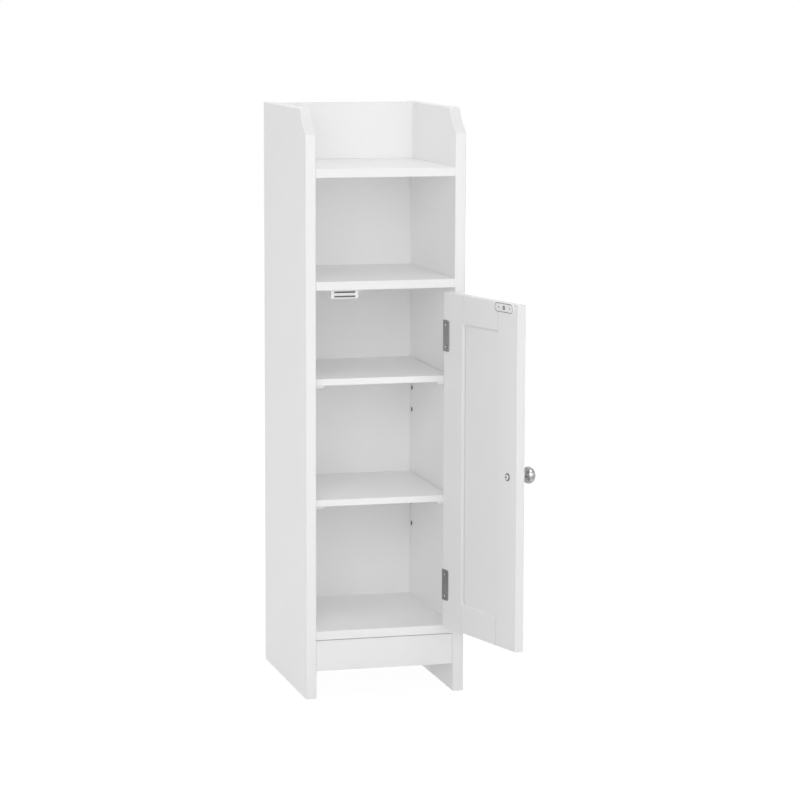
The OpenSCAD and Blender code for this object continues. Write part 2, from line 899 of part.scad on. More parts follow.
// A rail between the stiles, with a tongue on each end and the panel's groove
module rail_blank() {
    tongue = frame_groove - bevel_w - frame_play;
    difference() {
        union() {
            intersection() {
                door_slab();
                translate([door_free_x + stile_w, -over, door_bottom_z - over])
                    cube([door_w - 2 * stile_w, door_t + door_recess + 2 * over, rail_in + over]);
            }
            translate([
                door_free_x + stile_w - tongue,
                door_front_y + door_t / 2 - panel_t / 2,
                door_bottom_z
            ])
                cube([door_w - 2 * stile_w + 2 * tongue, panel_t, rail_w - frame_groove + bevel_w]);
        }
        free_stile_corner();
        mirrored_in_door() free_stile_corner();
        door_opening();
        panel_space(frame_groove, groove_t);
    }
}

// The mitred corner of the field that belongs to the stile
module free_stile_corner() {
    translate([door_free_x + stile_w - over, -over, door_bottom_z + rail_w])
        cube([bevel_w + over, door_t + door_recess + 2 * over, bevel_w + over]);
}

module door_bottom_rail() {
    color(paint) opened() rail_blank();
}

module door_top_rail() {
    color(paint) opened()
        translate([0, 0, door_bottom_z + door_top_z]) mirror([0, 0, 1]) rail_blank();
}

module door_centre_panel() {
    color(paint) opened() panel_space(frame_groove - frame_play, panel_t);
}

module strike_plate() {
    dimple_r = 1.6;
    color(bright_steel) opened() difference() {
        strike_place() difference() {
            linear_extrude(strike_t) stadium(strike_l, strike_w);
            for (side = [-1, 1])
                translate([side * dimple_x, 0, strike_t / 2]) cylinder(r = dimple_r, h = strike_t);
        }
        strike_relief();
    }
}

module strike_screw() {
    color(bright_steel) opened()
        strike_place() translate([0, 0, strike_t]) countersunk_screw(hinge_screw_l);
}

// A turned knob: foot, slim waist and a rounded head like a flattened ball
module knob() {
    foot_rim = 1.2;
    head_z = knob_reach - knob_dome;
    from = -acos(knob_waist_r / knob_r);
    steps = 16;
    color(bright_steel) opened() knob_place() difference() {
        rotate_extrude($fn = 96)
            polygon(concat(
                [
                    [0, 0], [knob_foot_r, 0], [knob_foot_r, foot_rim],
                    [knob_waist_r + 0.6, knob_foot_h - 0.8], [knob_waist_r, knob_foot_h]
                ],
                [
                    for (i = [0:steps - 1])
                        let (a = from + (90 - from) * i / steps)
                            [knob_r * cos(a), head_z + knob_dome * sin(a)]
                ],
                [[0, knob_reach]]
            ));
        translate([0, 0, -over]) cylinder(r = knob_screw_r + knob_screw_play, h = knob_thread_l + over);
    }
}

// Slotted screw from the inner face through the stile into the knob
module knob_screw() {
    slot_w = 1.1;
    color(bright_steel) opened() knob_place() translate([0, 0, -door_t]) difference() {
        union() {
            cylinder(r = knob_screw_r, h = door_t + knob_thread_l - over);
            mirror([0, 0, 1]) cylinder(r1 = knob_screw_head_r, r2 = knob_screw_head_r * 0.75, h = knob_screw_head_h);
        }
        translate([-knob_screw_head_r, -slot_w / 2, -knob_screw_head_h - over])
            cube([2 * knob_screw_head_r, slot_w, knob_screw_head_h / 2 + over]);
    }
}

// Hinges

// Points local +Z out of the right panel's inner face, towards the left
module at_frame_screws(z) {
    for (side = [-1, 1])
        translate([
            right_face_x - leaf_t,
            frame_leaf_back - frame_screw_in,
            z + side * hinge_screw_pitch / 2
        ])
            rotate([0, -90, 0]) children();
}

// Points local +Z out of the closed door's inner face, to the back
module at_door_screws(z) {
    for (side = [-1, 1])
        translate([door_hinge_x - door_screw_in, door_back_y + leaf_t, z + side * hinge_screw_pitch / 2])
            rotate([-90, 0, 0]) children();
}

// The knuckles of one leaf, first one at the lower end, with the strip that joins them
module knuckles(strip_x, own) {
    pitch = hinge_h / knuckle_count;
    difference() {
        for (i = own) {
            lower = i == 0 ? 0 : knuckle_gap / 2;
            upper = i == knuckle_count - 1 ? 0 : knuckle_gap / 2;
            translate([pin_x, pin_y, i * pitch + lower]) {
                cylinder(r = knuckle_r, h = pitch - lower - upper);
                translate([strip_x - pin_x, 0, 0])
                    cube([leaf_t, leaf_front_y - pin_y, pitch - lower - upper]);
            }
        }
        translate([pin_x, pin_y, -over]) cylinder(r = hinge_bore_r, h = hinge_h + 2 * over);
    }
}

module frame_leaf(z) {
    strip_x = right_face_x - leaf_t;
    color(hinge_steel) difference() {
        translate([0, 0, z - hinge_h / 2]) {
            knuckles(strip_x, [0:2:knuckle_count - 1]);
            translate([strip_x, leaf_front_y, 0]) along_x(leaf_t)
                rear_rounded(frame_leaf_back - leaf_front_y, hinge_h, leaf_corner_r);
        }
        at_frame_screws(z) countersunk_hole(hinge_screw_l);
    }
}

// A rectangle with its two far corners rounded
module rear_rounded(w, h, r) {
    square([w - r, h]);
    translate([0, r]) square([w, h - 2 * r]);
    for (v = [r, h - r]) translate([w - r, v]) circle(r);
}

// The door's leaf wraps from the door's edge onto its inner face
module door_leaf(z) {
    color(hinge_steel) opened() difference() {
        translate([0, 0, z - hinge_h / 2]) {
            knuckles(door_hinge_x, [1:2:knuckle_count - 1]);
            translate([door_hinge_x, leaf_front_y, 0])
                cube([leaf_t, door_back_y - leaf_front_y, hinge_h]);
            intersection() {
                translate([door_hinge_x, door_back_y, 0]) cylinder(r = leaf_t, h = hinge_h);
                translate([door_hinge_x, door_back_y, 0]) cube([leaf_t, leaf_t, hinge_h]);
            }
            translate([door_hinge_x, door_back_y + leaf_t, 0]) rotate([90, 0, 0])
                mirror([1, 0, 0]) linear_extrude(leaf_t)
                    rear_rounded(door_plate_w, hinge_h, leaf_corner_r);
        }
        at_door_screws(z) countersunk_hole(hinge_screw_l);
    }
}

// The pin stands in the knuckles and hangs by its head
module hinge_pin(z) {
    color(hinge_steel) translate([pin_x, pin_y, z - hinge_h / 2]) {
        cylinder(r = hinge_pin_r, h = hinge_h);
        translate([0, 0, hinge_h]) cylinder(r1 = pin_head_r, r2 = pin_head_r * 0.7, h = pin_head_h);
    }
}

module upper_hinge_frame_leaf() {
    frame_leaf(upper_hinge_z);
}

module lower_hinge_frame_leaf() {
    frame_leaf(lower_hinge_z);
}

module upper_hinge_door_leaf() {
    door_leaf(upper_hinge_z);
}

module lower_hinge_door_leaf() {
    door_leaf(lower_hinge_z);
}

module upper_hinge_pin() {
    hinge_pin(upper_hinge_z);
}

module lower_hinge_pin() {
    hinge_pin(lower_hinge_z);
}

module hinge_frame_screws() {
    color(hinge_steel) for (z = [upper_hinge_z, lower_hinge_z])
        at_frame_screws(z) countersunk_screw(hinge_screw_l);
}

module hinge_door_screws() {
    color(hinge_steel) opened() for (z = [upper_hinge_z, lower_hinge_z])
        at_door_screws(z) countersunk_screw(hinge_screw_l);
}

left_side_panel();
right_side_panel();
back_panel();
tray_back_board();
top_shelf();
middle_shelf();
bottom_shelf();
toe_kick();
upper_adjustable_shelf();
lower_adjustable_shelf();
upper_shelf_supports();
lower_shelf_supports();
catch_housing();
catch_magnet();
catch_pole_plates();
catch_screws();
door_hinge_stile();
door_free_stile();
door_top_rail();
door_bottom_rail();
door_centre_panel();
strike_plate();
strike_screw();
knob();
knob_screw();
upper_hinge_door_leaf();
lower_hinge_door_leaf();
upper_hinge_frame_leaf();
lower_hinge_frame_leaf();
upper_hinge_pin();
lower_hinge_pin();
hinge_door_screws();
hinge_frame_screws();
cam_locks();
cam_bolts();
dowels();
back_panel_screws();
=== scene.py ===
"""Looks of the narrow bathroom cabinet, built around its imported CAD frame.

Lengths are millimetres unless a name says otherwise. The origin is the outer front corner
of the left foot on the floor, +X points right, +Y back and +Z up.
"""

import logging
import math
from dataclasses import dataclass, field
from enum import Enum
from typing import Callable, Iterable, Sequence

import bmesh
import bpy
from mathutils import Matrix, Vector
from mathutils.bvhtree import BVHTree


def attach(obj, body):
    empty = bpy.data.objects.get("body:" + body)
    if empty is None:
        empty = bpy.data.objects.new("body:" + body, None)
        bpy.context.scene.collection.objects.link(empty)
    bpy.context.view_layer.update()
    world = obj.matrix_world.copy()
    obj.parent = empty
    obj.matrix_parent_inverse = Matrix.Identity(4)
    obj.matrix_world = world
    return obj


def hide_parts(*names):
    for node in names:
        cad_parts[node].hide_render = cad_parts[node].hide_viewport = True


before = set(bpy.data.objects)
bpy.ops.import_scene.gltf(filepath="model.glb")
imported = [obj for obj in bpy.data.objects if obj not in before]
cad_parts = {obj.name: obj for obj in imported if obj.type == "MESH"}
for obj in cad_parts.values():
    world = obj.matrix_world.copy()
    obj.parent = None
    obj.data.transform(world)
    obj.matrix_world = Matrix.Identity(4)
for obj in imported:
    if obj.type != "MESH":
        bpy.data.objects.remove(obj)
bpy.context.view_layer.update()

LOG = logging.getLogger("bathroom_cabinet")

# One millimetre in metres, and lengths that count as none: in metres and in millimetres
MM = 0.001
HAIR = 1e-6
JUST = 0.01

# Degrees from which an edge stays crisp, on turned or pressed pieces and on boards
TURNED_CRISP = 30.0
BOARD_CRISP = 38.0

# The material index of a piece's second look
SECOND = 1

# Diffuse bounces that the light makes inside the compartments
LIGHT_BOUNCES = 12

WHITE = (1.0, 1.0, 1.0, 1.0)

Pair = tuple[float, float]
Triple = tuple[float, float, float]
Cut = tuple[Triple, Triple]
Socket = bpy.types.NodeSocket
Value = float | Socket
Edges = list[bmesh.types.BMEdge]
Pieces = list[bpy.types.Object]

# Directions in the frame
BACK: Triple = (0.0, 1.0, 0.0)
FRONT: Triple = (0.0, -1.0, 0.0)
LEFT: Triple = (-1.0, 0.0, 0.0)
UP: Triple = (0.0, 0.0, 1.0)
DOWN: Triple = (0.0, 0.0, -1.0)


class Body(Enum):
    """The two bodies that a piece can ride on."""

    CARCASS = "carcass"
    DOOR = "door"


class Slot(Enum):
    """The record's material slots."""

    BOARD = "painted_board"
    PLASTIC = "white_plastic"
    PLATED = "plated_steel"
    HINGE = "hinge_steel"
    CHROME = "knob_chrome"
    MAGNET = "magnet"
    BEECH = "dowel_wood"


class Look(Enum):
    """The finishes that can be seen."""

    LACQUER = "white_satin_lacquer"
    # Painted shade on the door's seams, the panel's rim and the stiles' walls
    PAINTED_SHADE = "lacquer_with_painted_shade"
    # Raw fibreboard in the bores, darkened as painted shade
    RAW_BOARD_IN_PAINTED_SHADE = "raw_fibreboard_in_painted_shade"
    PLASTIC = "white_moulded_plastic"
    ZINC = "satin_zinc"
    SCREW = "passivated_screw"
    # Painted shade in the recesses of screws and of the strike plate
    PAINTED_RECESS_SHADE = "painted_shade_in_recesses"
    # Steel of the pole plates, darkened as painted shade
    POLE = "steel_darkened_as_painted_shade"
    NICKEL = "brushed_satin_nickel"
    # The same nickel, darkened as painted shade for the lower hinge
    NICKEL_IN_PAINTED_SHADE = "satin_nickel_in_painted_shade"
    CHROME = "polished_chrome"
    FERRITE = "dark_ferrite"
    BEECH = "raw_beech"


def mm(x: float, y: float, z: float) -> Vector:
    """Returns a point or length given in millimetres, in metres."""
    return Vector((x, y, z)) * MM


def put_in_scene(name: str, data: bpy.types.ID) -> bpy.types.Object:
    """Makes an object and links it to the scene.

    Args:
        name: The object's name.
        data: Its mesh, camera or lamp.

    Returns:
        The new object.
    """
    made = bpy.data.objects.new(name, data)
    bpy.context.scene.collection.objects.link(made)
    return made


# Shader node helpers


class Nodes:
    """Adds and links nodes in one node tree."""

    def __init__(self, tree: bpy.types.NodeTree) -> None:
        """Starts on the node tree of a material, a world or a group."""
        self.tree = tree

    def add(self, kind: str, inputs: dict | None = None, **settings: object) -> bpy.types.Node:
        """Adds one node.

        Args:
            kind: The node's type name without the leading "ShaderNode".
            inputs: Value or source socket for each named or numbered input.
            **settings: Attributes to set on the node before its inputs.

        Returns:
            The new node.
        """
        node = self.tree.nodes.new("ShaderNode" + kind)
        for key, value in settings.items():
            setattr(node, key, value)
        self.feed(node, inputs or {})
        return node

    def feed(self, node: bpy.types.Node, inputs: dict) -> None:
        """Links or sets a node's inputs.

        Args:
            node: The node.
            inputs: Value or source socket for each named or numbered input.
        """
        for key, value in inputs.items():
            if isinstance(value, Socket):
                self.tree.links.new(value, node.inputs[key])
            else:
                node.inputs[key].default_value = value

    def object_point(self) -> Socket:
        """Returns the object coordinates."""
        return self.add("TexCoord").outputs["Object"]

    def maths(self, operation: str, *values: Value) -> Socket:
        """Returns the result of one operation on numbers or sockets."""
        return self.add("Math", dict(enumerate(values)), operation=operation).outputs[0]

    def scaled(self, colour: Socket, share: Value) -> Socket:
        """Returns a colour scaled by a share."""
        made = self.add("VectorMath", {0: colour, "Scale": share}, operation="SCALE")
        return made.outputs[0]

    def noise(
        self,
        point: Socket,
        scale: Value,
        detail: float,
        distortion: float = 0.0,
    ) -> Socket:
        """Returns a cloudy pattern of 0 to 1, with about scale clouds in a metre."""
        inputs = {"Vector": point, "Scale": scale, "Detail": detail, "Distortion": distortion}
        return self.add("TexNoise", inputs).outputs["Fac"]

    def ranged(
        self,
        value: Socket,
        target: tuple[Value, Value],
        source: Pair = (0.0, 1.0),
        **settings: object,
    ) -> Socket:
        """Returns a value carried from its source range over to the target range."""
        ends = dict(enumerate((value, *source, *target)))
        return self.add("MapRange", ends, **settings).outputs[0]


def emptied(owner: bpy.types.Material | bpy.types.World) -> Nodes:
    """Turns on nodes and clears them.

    Args:
        owner: The material or world that they belong to.

    Returns:
        Its empty nodes.
    """
    owner.use_nodes = True
    owner.node_tree.nodes.clear()
    return Nodes(owner.node_tree)


class Effect:
    """A shader node group that several finishes share, built once."""

    def __init__(self, name: str, inputs: dict[str, str], outputs: dict[str, str]) -> None:
        """Makes the empty group.

        Args:
            name: The group's name.
            inputs: Socket kind for each input name.
            outputs: Socket kind for each output name.
        """
        self.tree = bpy.data.node_groups.new(name, "ShaderNodeTree")
        for side, sockets in (("INPUT", inputs), ("OUTPUT", outputs)):
            for label, kind in sockets.items():
                socket = "NodeSocket" + kind
                self.tree.interface.new_socket(label, in_out=side, socket_type=socket)
        self.nodes = Nodes(self.tree)
        self.given = self.tree.nodes.new("NodeGroupInput").outputs
        self.made = self.tree.nodes.new("NodeGroupOutput").inputs

    def put(self, label: str, value: Socket) -> None:
        """Links a value to one of the group's outputs."""
        self.tree.links.new(value, self.made[label])

    def place(self, nodes: Nodes, inputs: dict) -> bpy.types.Node:
        """Places the group in a material.

        Args:
            nodes: The material's nodes.
            inputs: Value or source socket for each input.

        Returns:
            The group node.
        """
        node = nodes.tree.nodes.new("ShaderNodeGroup")
        node.node_tree = self.tree
        nodes.feed(node, inputs)
        return node


def build_tone_drift() -> Effect:
    """Makes the slow cloudy change of tone over a large sheet or casting.

    Returns:
        The group, which puts out the drifting colour.
    """
    effect = Effect(
        "tone_drift",
        {"Point": "Vector", "Scale": "Float", "Colour": "Color", "Drift": "Float"},
        {"Colour": "Color"},
    )
    nodes, given = effect.nodes, effect.given
    cloud = nodes.noise(given["Point"], given["Scale"], detail=3.0)
    centred = nodes.maths("SUBTRACT", cloud, 0.5)
    shift = nodes.maths("MULTIPLY_ADD", centred, given["Drift"], 1.0)
    effect.put("Colour", nodes.scaled(given["Colour"], shift))
    return effect


def build_orange_peel() -> Effect:
    """Makes the ripple and pores that a sprayed or moulded skin keeps.

    Returns:
        The group, which puts out their height.
    """
    effect = Effect(
        "orange_peel",
        {"Point": "Vector", "Ripple": "Float", "Pore": "Float"},
        {"Height": "Float"},
    )
    nodes, given = effect.nodes, effect.given
    ripple = nodes.noise(given["Point"], given["Ripple"], detail=1.5)
    pore = nodes.noise(given["Point"], given["Pore"], detail=2.0)
    sunk = nodes.ranged(pore, target=(0.0, -0.35), source=(0.6, 0.8))
    effect.put("Height", nodes.maths("ADD", ripple, sunk))
    return effect


def build_brushed_grain() -> Effect:
    """Makes fine scratches along the stretched axis of a worked metal face.

    Returns:
        The group, which puts out their shade and height.
    """
    effect = Effect(
        "brushed_grain",
        {"Point": "Vector", "Density": "Float"},
        {"Shade": "Float", "Height": "Float"},
    )
    nodes, given = effect.nodes, effect.given
    times_finer = 3.7
    coarse = nodes.noise(given["Point"], given["Density"], detail=4.0)
    finer = nodes.maths("MULTIPLY", given["Density"], times_finer)
    fine = nodes.noise(given["Point"], finer, detail=2.0)
    both = nodes.maths("ADD", coarse, fine)
    effect.put("Shade", nodes.maths("MULTIPLY", both, 0.5))
    effect.put("Height", fine)
    return effect


def build_handling() -> Effect:
    """Makes the faint patches that wiping and touching leave.

    Returns:
        The group, which puts out their roughness between its low and high.
    """
    effect = Effect(
        "handling",
        {"Point": "Vector", "Scale": "Float", "Low": "Float", "High": "Float"},
        {"Gloss": "Float"},
    )
    nodes, given = effect.nodes, effect.given
    patch = nodes.noise(given["Point"], given["Scale"], detail=5.0, distortion=0.6)
    gloss = nodes.ranged(patch, target=(given["Low"], given["High"]), source=(0.3, 0.7))
    effect.put("Gloss", gloss)
    return effect


@dataclass(frozen=True)
class Effects:
    """The node groups, each built once and placed in every finish that needs it."""

    tone_drift: Effect = field(default_factory=build_tone_drift)
    orange_peel: Effect = field(default_factory=build_orange_peel)
    brushed_grain: Effect = field(default_factory=build_brushed_grain)
    handling: Effect = field(default_factory=build_handling)


# Finishes


@dataclass(frozen=True)
class Surface:
    """A material in the making: its nodes, the shared effects, its point and its shader."""

    nodes: Nodes
    effects: Effects
    point: Socket
    shader: bpy.types.Node

    def colour(self) -> Socket:
        """Returns the source of the shader's colour so far."""
        return self.shader.inputs["Base Color"].links[0].from_socket

    def recolour(self, colour: Socket) -> None:
        """Gives the shader a new source of colour."""
        self.nodes.feed(self.shader, {"Base Color": colour})

    def shade(self, share: Socket) -> None:
        """Scales the colour by a share that changes over the surface."""
        self.recolour(self.nodes.scaled(self.colour(), share))

    def bump(self, height: Socket, depth: float) -> None:
        """Raises the surface by a pattern of 0 to 1, its depth given in millimetres."""
        raised = self.nodes.add("Bump", {"Height": height, "Distance": depth * MM})
        self.nodes.feed(self.shader, {"Normal": raised.outputs[0]})


@dataclass(frozen=True)
class Finish:
    """A finish with its base colour, its gloss and the drift of its tone."""

    colour: Triple
    roughness: Pair
    drift: float = 0.03
    drift_scale: float = 4.0
    patch_scale: float = 3.0
    metallic: float = 0.0

    def material(self, name: str, effects: Effects) -> bpy.types.Material:
        """Builds the material.

        Args:
            name: The material's name.
            effects: The shared node groups.

        Returns:
            The finished material.
        """
        made = bpy.data.materials.new(name)
        nodes = emptied(made)
        point = nodes.object_point()
        toned = effects.tone_drift.place(
            nodes,
            {
                "Point": point,
                "Scale": self.drift_scale,
                "Colour": (*self.colour, 1.0),
                "Drift": self.drift,
            },
        )
        gloss = effects.handling.place(
            nodes,
            {
                "Point": point,
                "Scale": self.drift_scale * self.patch_scale,
                "Low": self.roughness[0],
                "High": self.roughness[1],
            },
        )
        shader = nodes.add(
            "BsdfPrincipled",
            {
                "Base Color": toned.outputs["Colour"],
                "Roughness": gloss.outputs["Gloss"],
                "Metallic": self.metallic,
            },
        )
        self.dress(Surface(nodes, effects, point, shader))
        nodes.add("OutputMaterial", {"Surface": shader.outputs[0]})
        return made

    def dress(self, surface: Surface) -> None:
        """Adds what sets this finish apart; a plain finish has nothing more."""


@dataclass(frozen=True)
class SprayedSkin(Finish):
    """A lacquered or moulded skin with an orange-peel ripple."""

    ripple: float = 420.0
    pore: float = 2600.0
    depth: float = 0.02
    coat: float = 0.0
    coat_roughness: float = 0.2

    def dress(self, surface: Surface) -> None:
        """Adds the ripple and the clear top coat.

        Args:
            surface: The material in the making.
        """
        peel = surface.effects.orange_peel.place(
            surface.nodes, {"Point": surface.point, "Ripple": self.ripple, "Pore": self.pore}
        )
        surface.bump(peel.outputs["Height"], self.depth)
        coat = {"Coat Weight": self.coat, "Coat Roughness": self.coat_roughness}
        surface.nodes.feed(surface.shader, coat)


@dataclass(frozen=True)
class WorkedMetal(Finish):
    """A brushed, rolled or turned metal face."""

    metallic: float = 1.0
    stretch: Triple = (1.0, 1.0, 0.02)
    density: float = 900.0
    depth: float = 0.004
    marks_and_reflections: Pair = (0.85, 1.12)

    def dress(self, surface: Surface) -> None:
        """Adds the working marks to colour and height; on chrome a wide mottle of the colour is
        painted reflection.

        Args:
            surface: The material in the making.
        """
        nodes = surface.nodes
        along = nodes.add("Mapping", {"Vector": surface.point, "Scale": self.stretch})
        grain = surface.effects.brushed_grain.place(
            nodes, {"Point": along.outputs[0], "Density": self.density}
        )
        surface.shade(nodes.ranged(grain.outputs["Shade"], self.marks_and_reflections))
        surface.bump(grain.outputs["Height"], self.depth)


@dataclass(frozen=True)
class RawBeech(Finish):
    """Unfinished beech with its long grain and short flecks."""

    grain: Triple = (60.0, 900.0, 900.0)
    dark: Triple = (0.52, 0.36, 0.2)
    depth: float = 0.03

    def dress(self, surface: Surface) -> None:
        """Adds the grain to colour and height.

        Args:
            surface: The material in the making.
        """
        nodes = surface.nodes
        along = nodes.add("Mapping", {"Vector": surface.point, "Scale": self.grain})
        fleck = nodes.noise(along.outputs[0], 1.0, detail=4.0)
        mixed = nodes.add(
            "Mix", {0: fleck, 6: surface.colour(), 7: (*self.dark, 1.0)}, data_type="RGBA"
        )
        surface.recolour(mixed.outputs[2])
        surface.bump(fleck, self.depth)


@dataclass(frozen=True)
class RawFibreboard(Finish):
    """The pressed fibres inside a bore, where the lacquer does not reach; the colour given in
    FINISHES darkens them nearly to black as painted shade.
    """

    fibre: float = 2200.0
    fibre_shade: Pair = (0.5, 1.5)
    depth: float = 0.08

    def dress(self, surface: Surface) -> None:
        """Adds the loose fibres to colour and height.

        Args:
            surface: The material in the making.
        """
        fibres = surface.nodes.noise(surface.point, self.fibre, detail=6.0)
        surface.shade(surface.nodes.ranged(fibres, self.fibre_shade))
        surface.bump(fibres, self.depth)


FINISHES: dict[Look, Finish] = {
    Look.LACQUER: SprayedSkin((0.94, 0.94, 0.94), (0.36, 0.44), drift=0.012, coat=0.1),
    # Lacquer darkened as painted shade: the door's seams, the rim of its panel and the stiles'
    # walls beside it
    Look.PAINTED_SHADE: SprayedSkin((0.79, 0.79, 0.79), (0.45, 0.55), drift=0.04, drift_scale=60.0),
    # Raw fibreboard, darkened nearly to black as painted shade inside the bores and round their
    # mouths
    Look.RAW_BOARD_IN_PAINTED_SHADE: RawFibreboard(
        (0.04, 0.036, 0.032),
        (0.8, 0.95),
        drift=0.2,
        drift_scale=300.0,
    ),
    Look.PLASTIC: SprayedSkin(
        (0.95, 0.95, 0.95),
        (0.16, 0.24),
        drift_scale=30.0,
        ripple=1500.0,
        depth=0.008,
        coat=1.0,
        coat_roughness=0.08,
    ),
    Look.ZINC: WorkedMetal((0.95, 0.95, 0.95), (0.34, 0.44), drift_scale=60.0, metallic=0.5),
    Look.SCREW: WorkedMetal(
        (0.86, 0.86, 0.87),
        (0.3, 0.42),
        drift_scale=120.0,
        stretch=(1.0, 1.0, 1.0),
    ),
    # Near-black metal as painted shade in screw recesses and sunk rings, and in the strike
    # plate's groove, hole and dimples
    Look.PAINTED_RECESS_SHADE: WorkedMetal(
        (0.03, 0.03, 0.03),
        (0.55, 0.7),
        drift_scale=120.0,
        metallic=0.1,
        stretch=(1.0, 1.0, 1.0),
    ),
    # Steel of the pole plates, darkened nearly to black as painted shade
    Look.POLE: WorkedMetal((0.13, 0.13, 0.13), (0.3, 0.42), drift_scale=60.0),
    Look.NICKEL: WorkedMetal((0.47, 0.47, 0.47), (0.34, 0.46), drift_scale=60.0),
    # The same nickel, darker for the lower hinge as painted shade
    Look.NICKEL_IN_PAINTED_SHADE: WorkedMetal((0.34, 0.34, 0.34), (0.34, 0.46), drift_scale=60.0),
    # Polished chrome whose colour is mottled as a painted reflection of a room
    Look.CHROME: WorkedMetal(
        (0.7, 0.7, 0.71),
        (0.12, 0.2),
        drift_scale=50.0,
        stretch=(1.0, 1.0, 1.0),
        density=230.0,
        depth=0.001,
        marks_and_reflections=(-0.6, 1.9),
    ),
    Look.FERRITE: SprayedSkin((0.12, 0.12, 0.13), (0.55, 0.7), drift_scale=200.0, pore=6000.0),
    Look.BEECH: RawBeech((0.66, 0.5, 0.32), (0.6, 0.75)),
}


class Finishes:
    """The materials, built the first time that a piece asks for one."""

    def __init__(self) -> None:
        """Builds the shared effects."""
        self.effects = Effects()
        self.made: dict[Look, bpy.types.Material] = {}

    def of(self, look: Look) -> bpy.types.Material:
        """Finds or builds a material.

        Args:
            look: The look that it gives.

        Returns:
            The material.
        """
        if look not in self.made:
            self.made[look] = FINISHES[look].material(look.value, self.effects)
        return self.made[look]


# Shaping


@dataclass(frozen=True)
class Badge:
    """What a piece is: its name, the body it rides on, its slot and its looks."""

    name: str
    body: Body
    slot: Slot
    looks: tuple[Look, ...]
    nodes: tuple[str, ...]


def seat(origin: Triple, out: Triple, up: Triple = UP) -> Matrix:
    """Places a fitting on a face.

    Args:
        origin: The fitting's middle on the face.
        out: Direction out of the face, the fitting's own Z.
        up: Direction that the fitting's own Y points to.

    Returns:
        The matrix from the fitting's metres to the frame's metres.
    """
    z = Vector(out).normalized()
    y = Vector(up)
    x = y.cross(z).normalized()
    turn = Matrix((x, z.cross(x), z)).transposed().to_4x4()
    return Matrix.Translation(mm(*origin)) @ turn


def upright(x: float, side: float) -> Cut:
    """Returns the upright plane at x on the closed door, facing the side -1 or 1."""
    return ((x, 0.0, 0.0), (side, 0.0, 0.0))


@dataclass(frozen=True)
class DoorSwing:
    """The turn that takes the closed door to where it stands open."""

    pin: Pair = (208.75, -5.3)
    angle: float = 104.8

    def matrix(self) -> Matrix:
        """Returns the turn about the hinge pins."""
        pin = Matrix.Translation(mm(*self.pin, 0.0))
        return pin @ Matrix.Rotation(math.radians(self.angle), 4, "Z") @ pin.inverted()


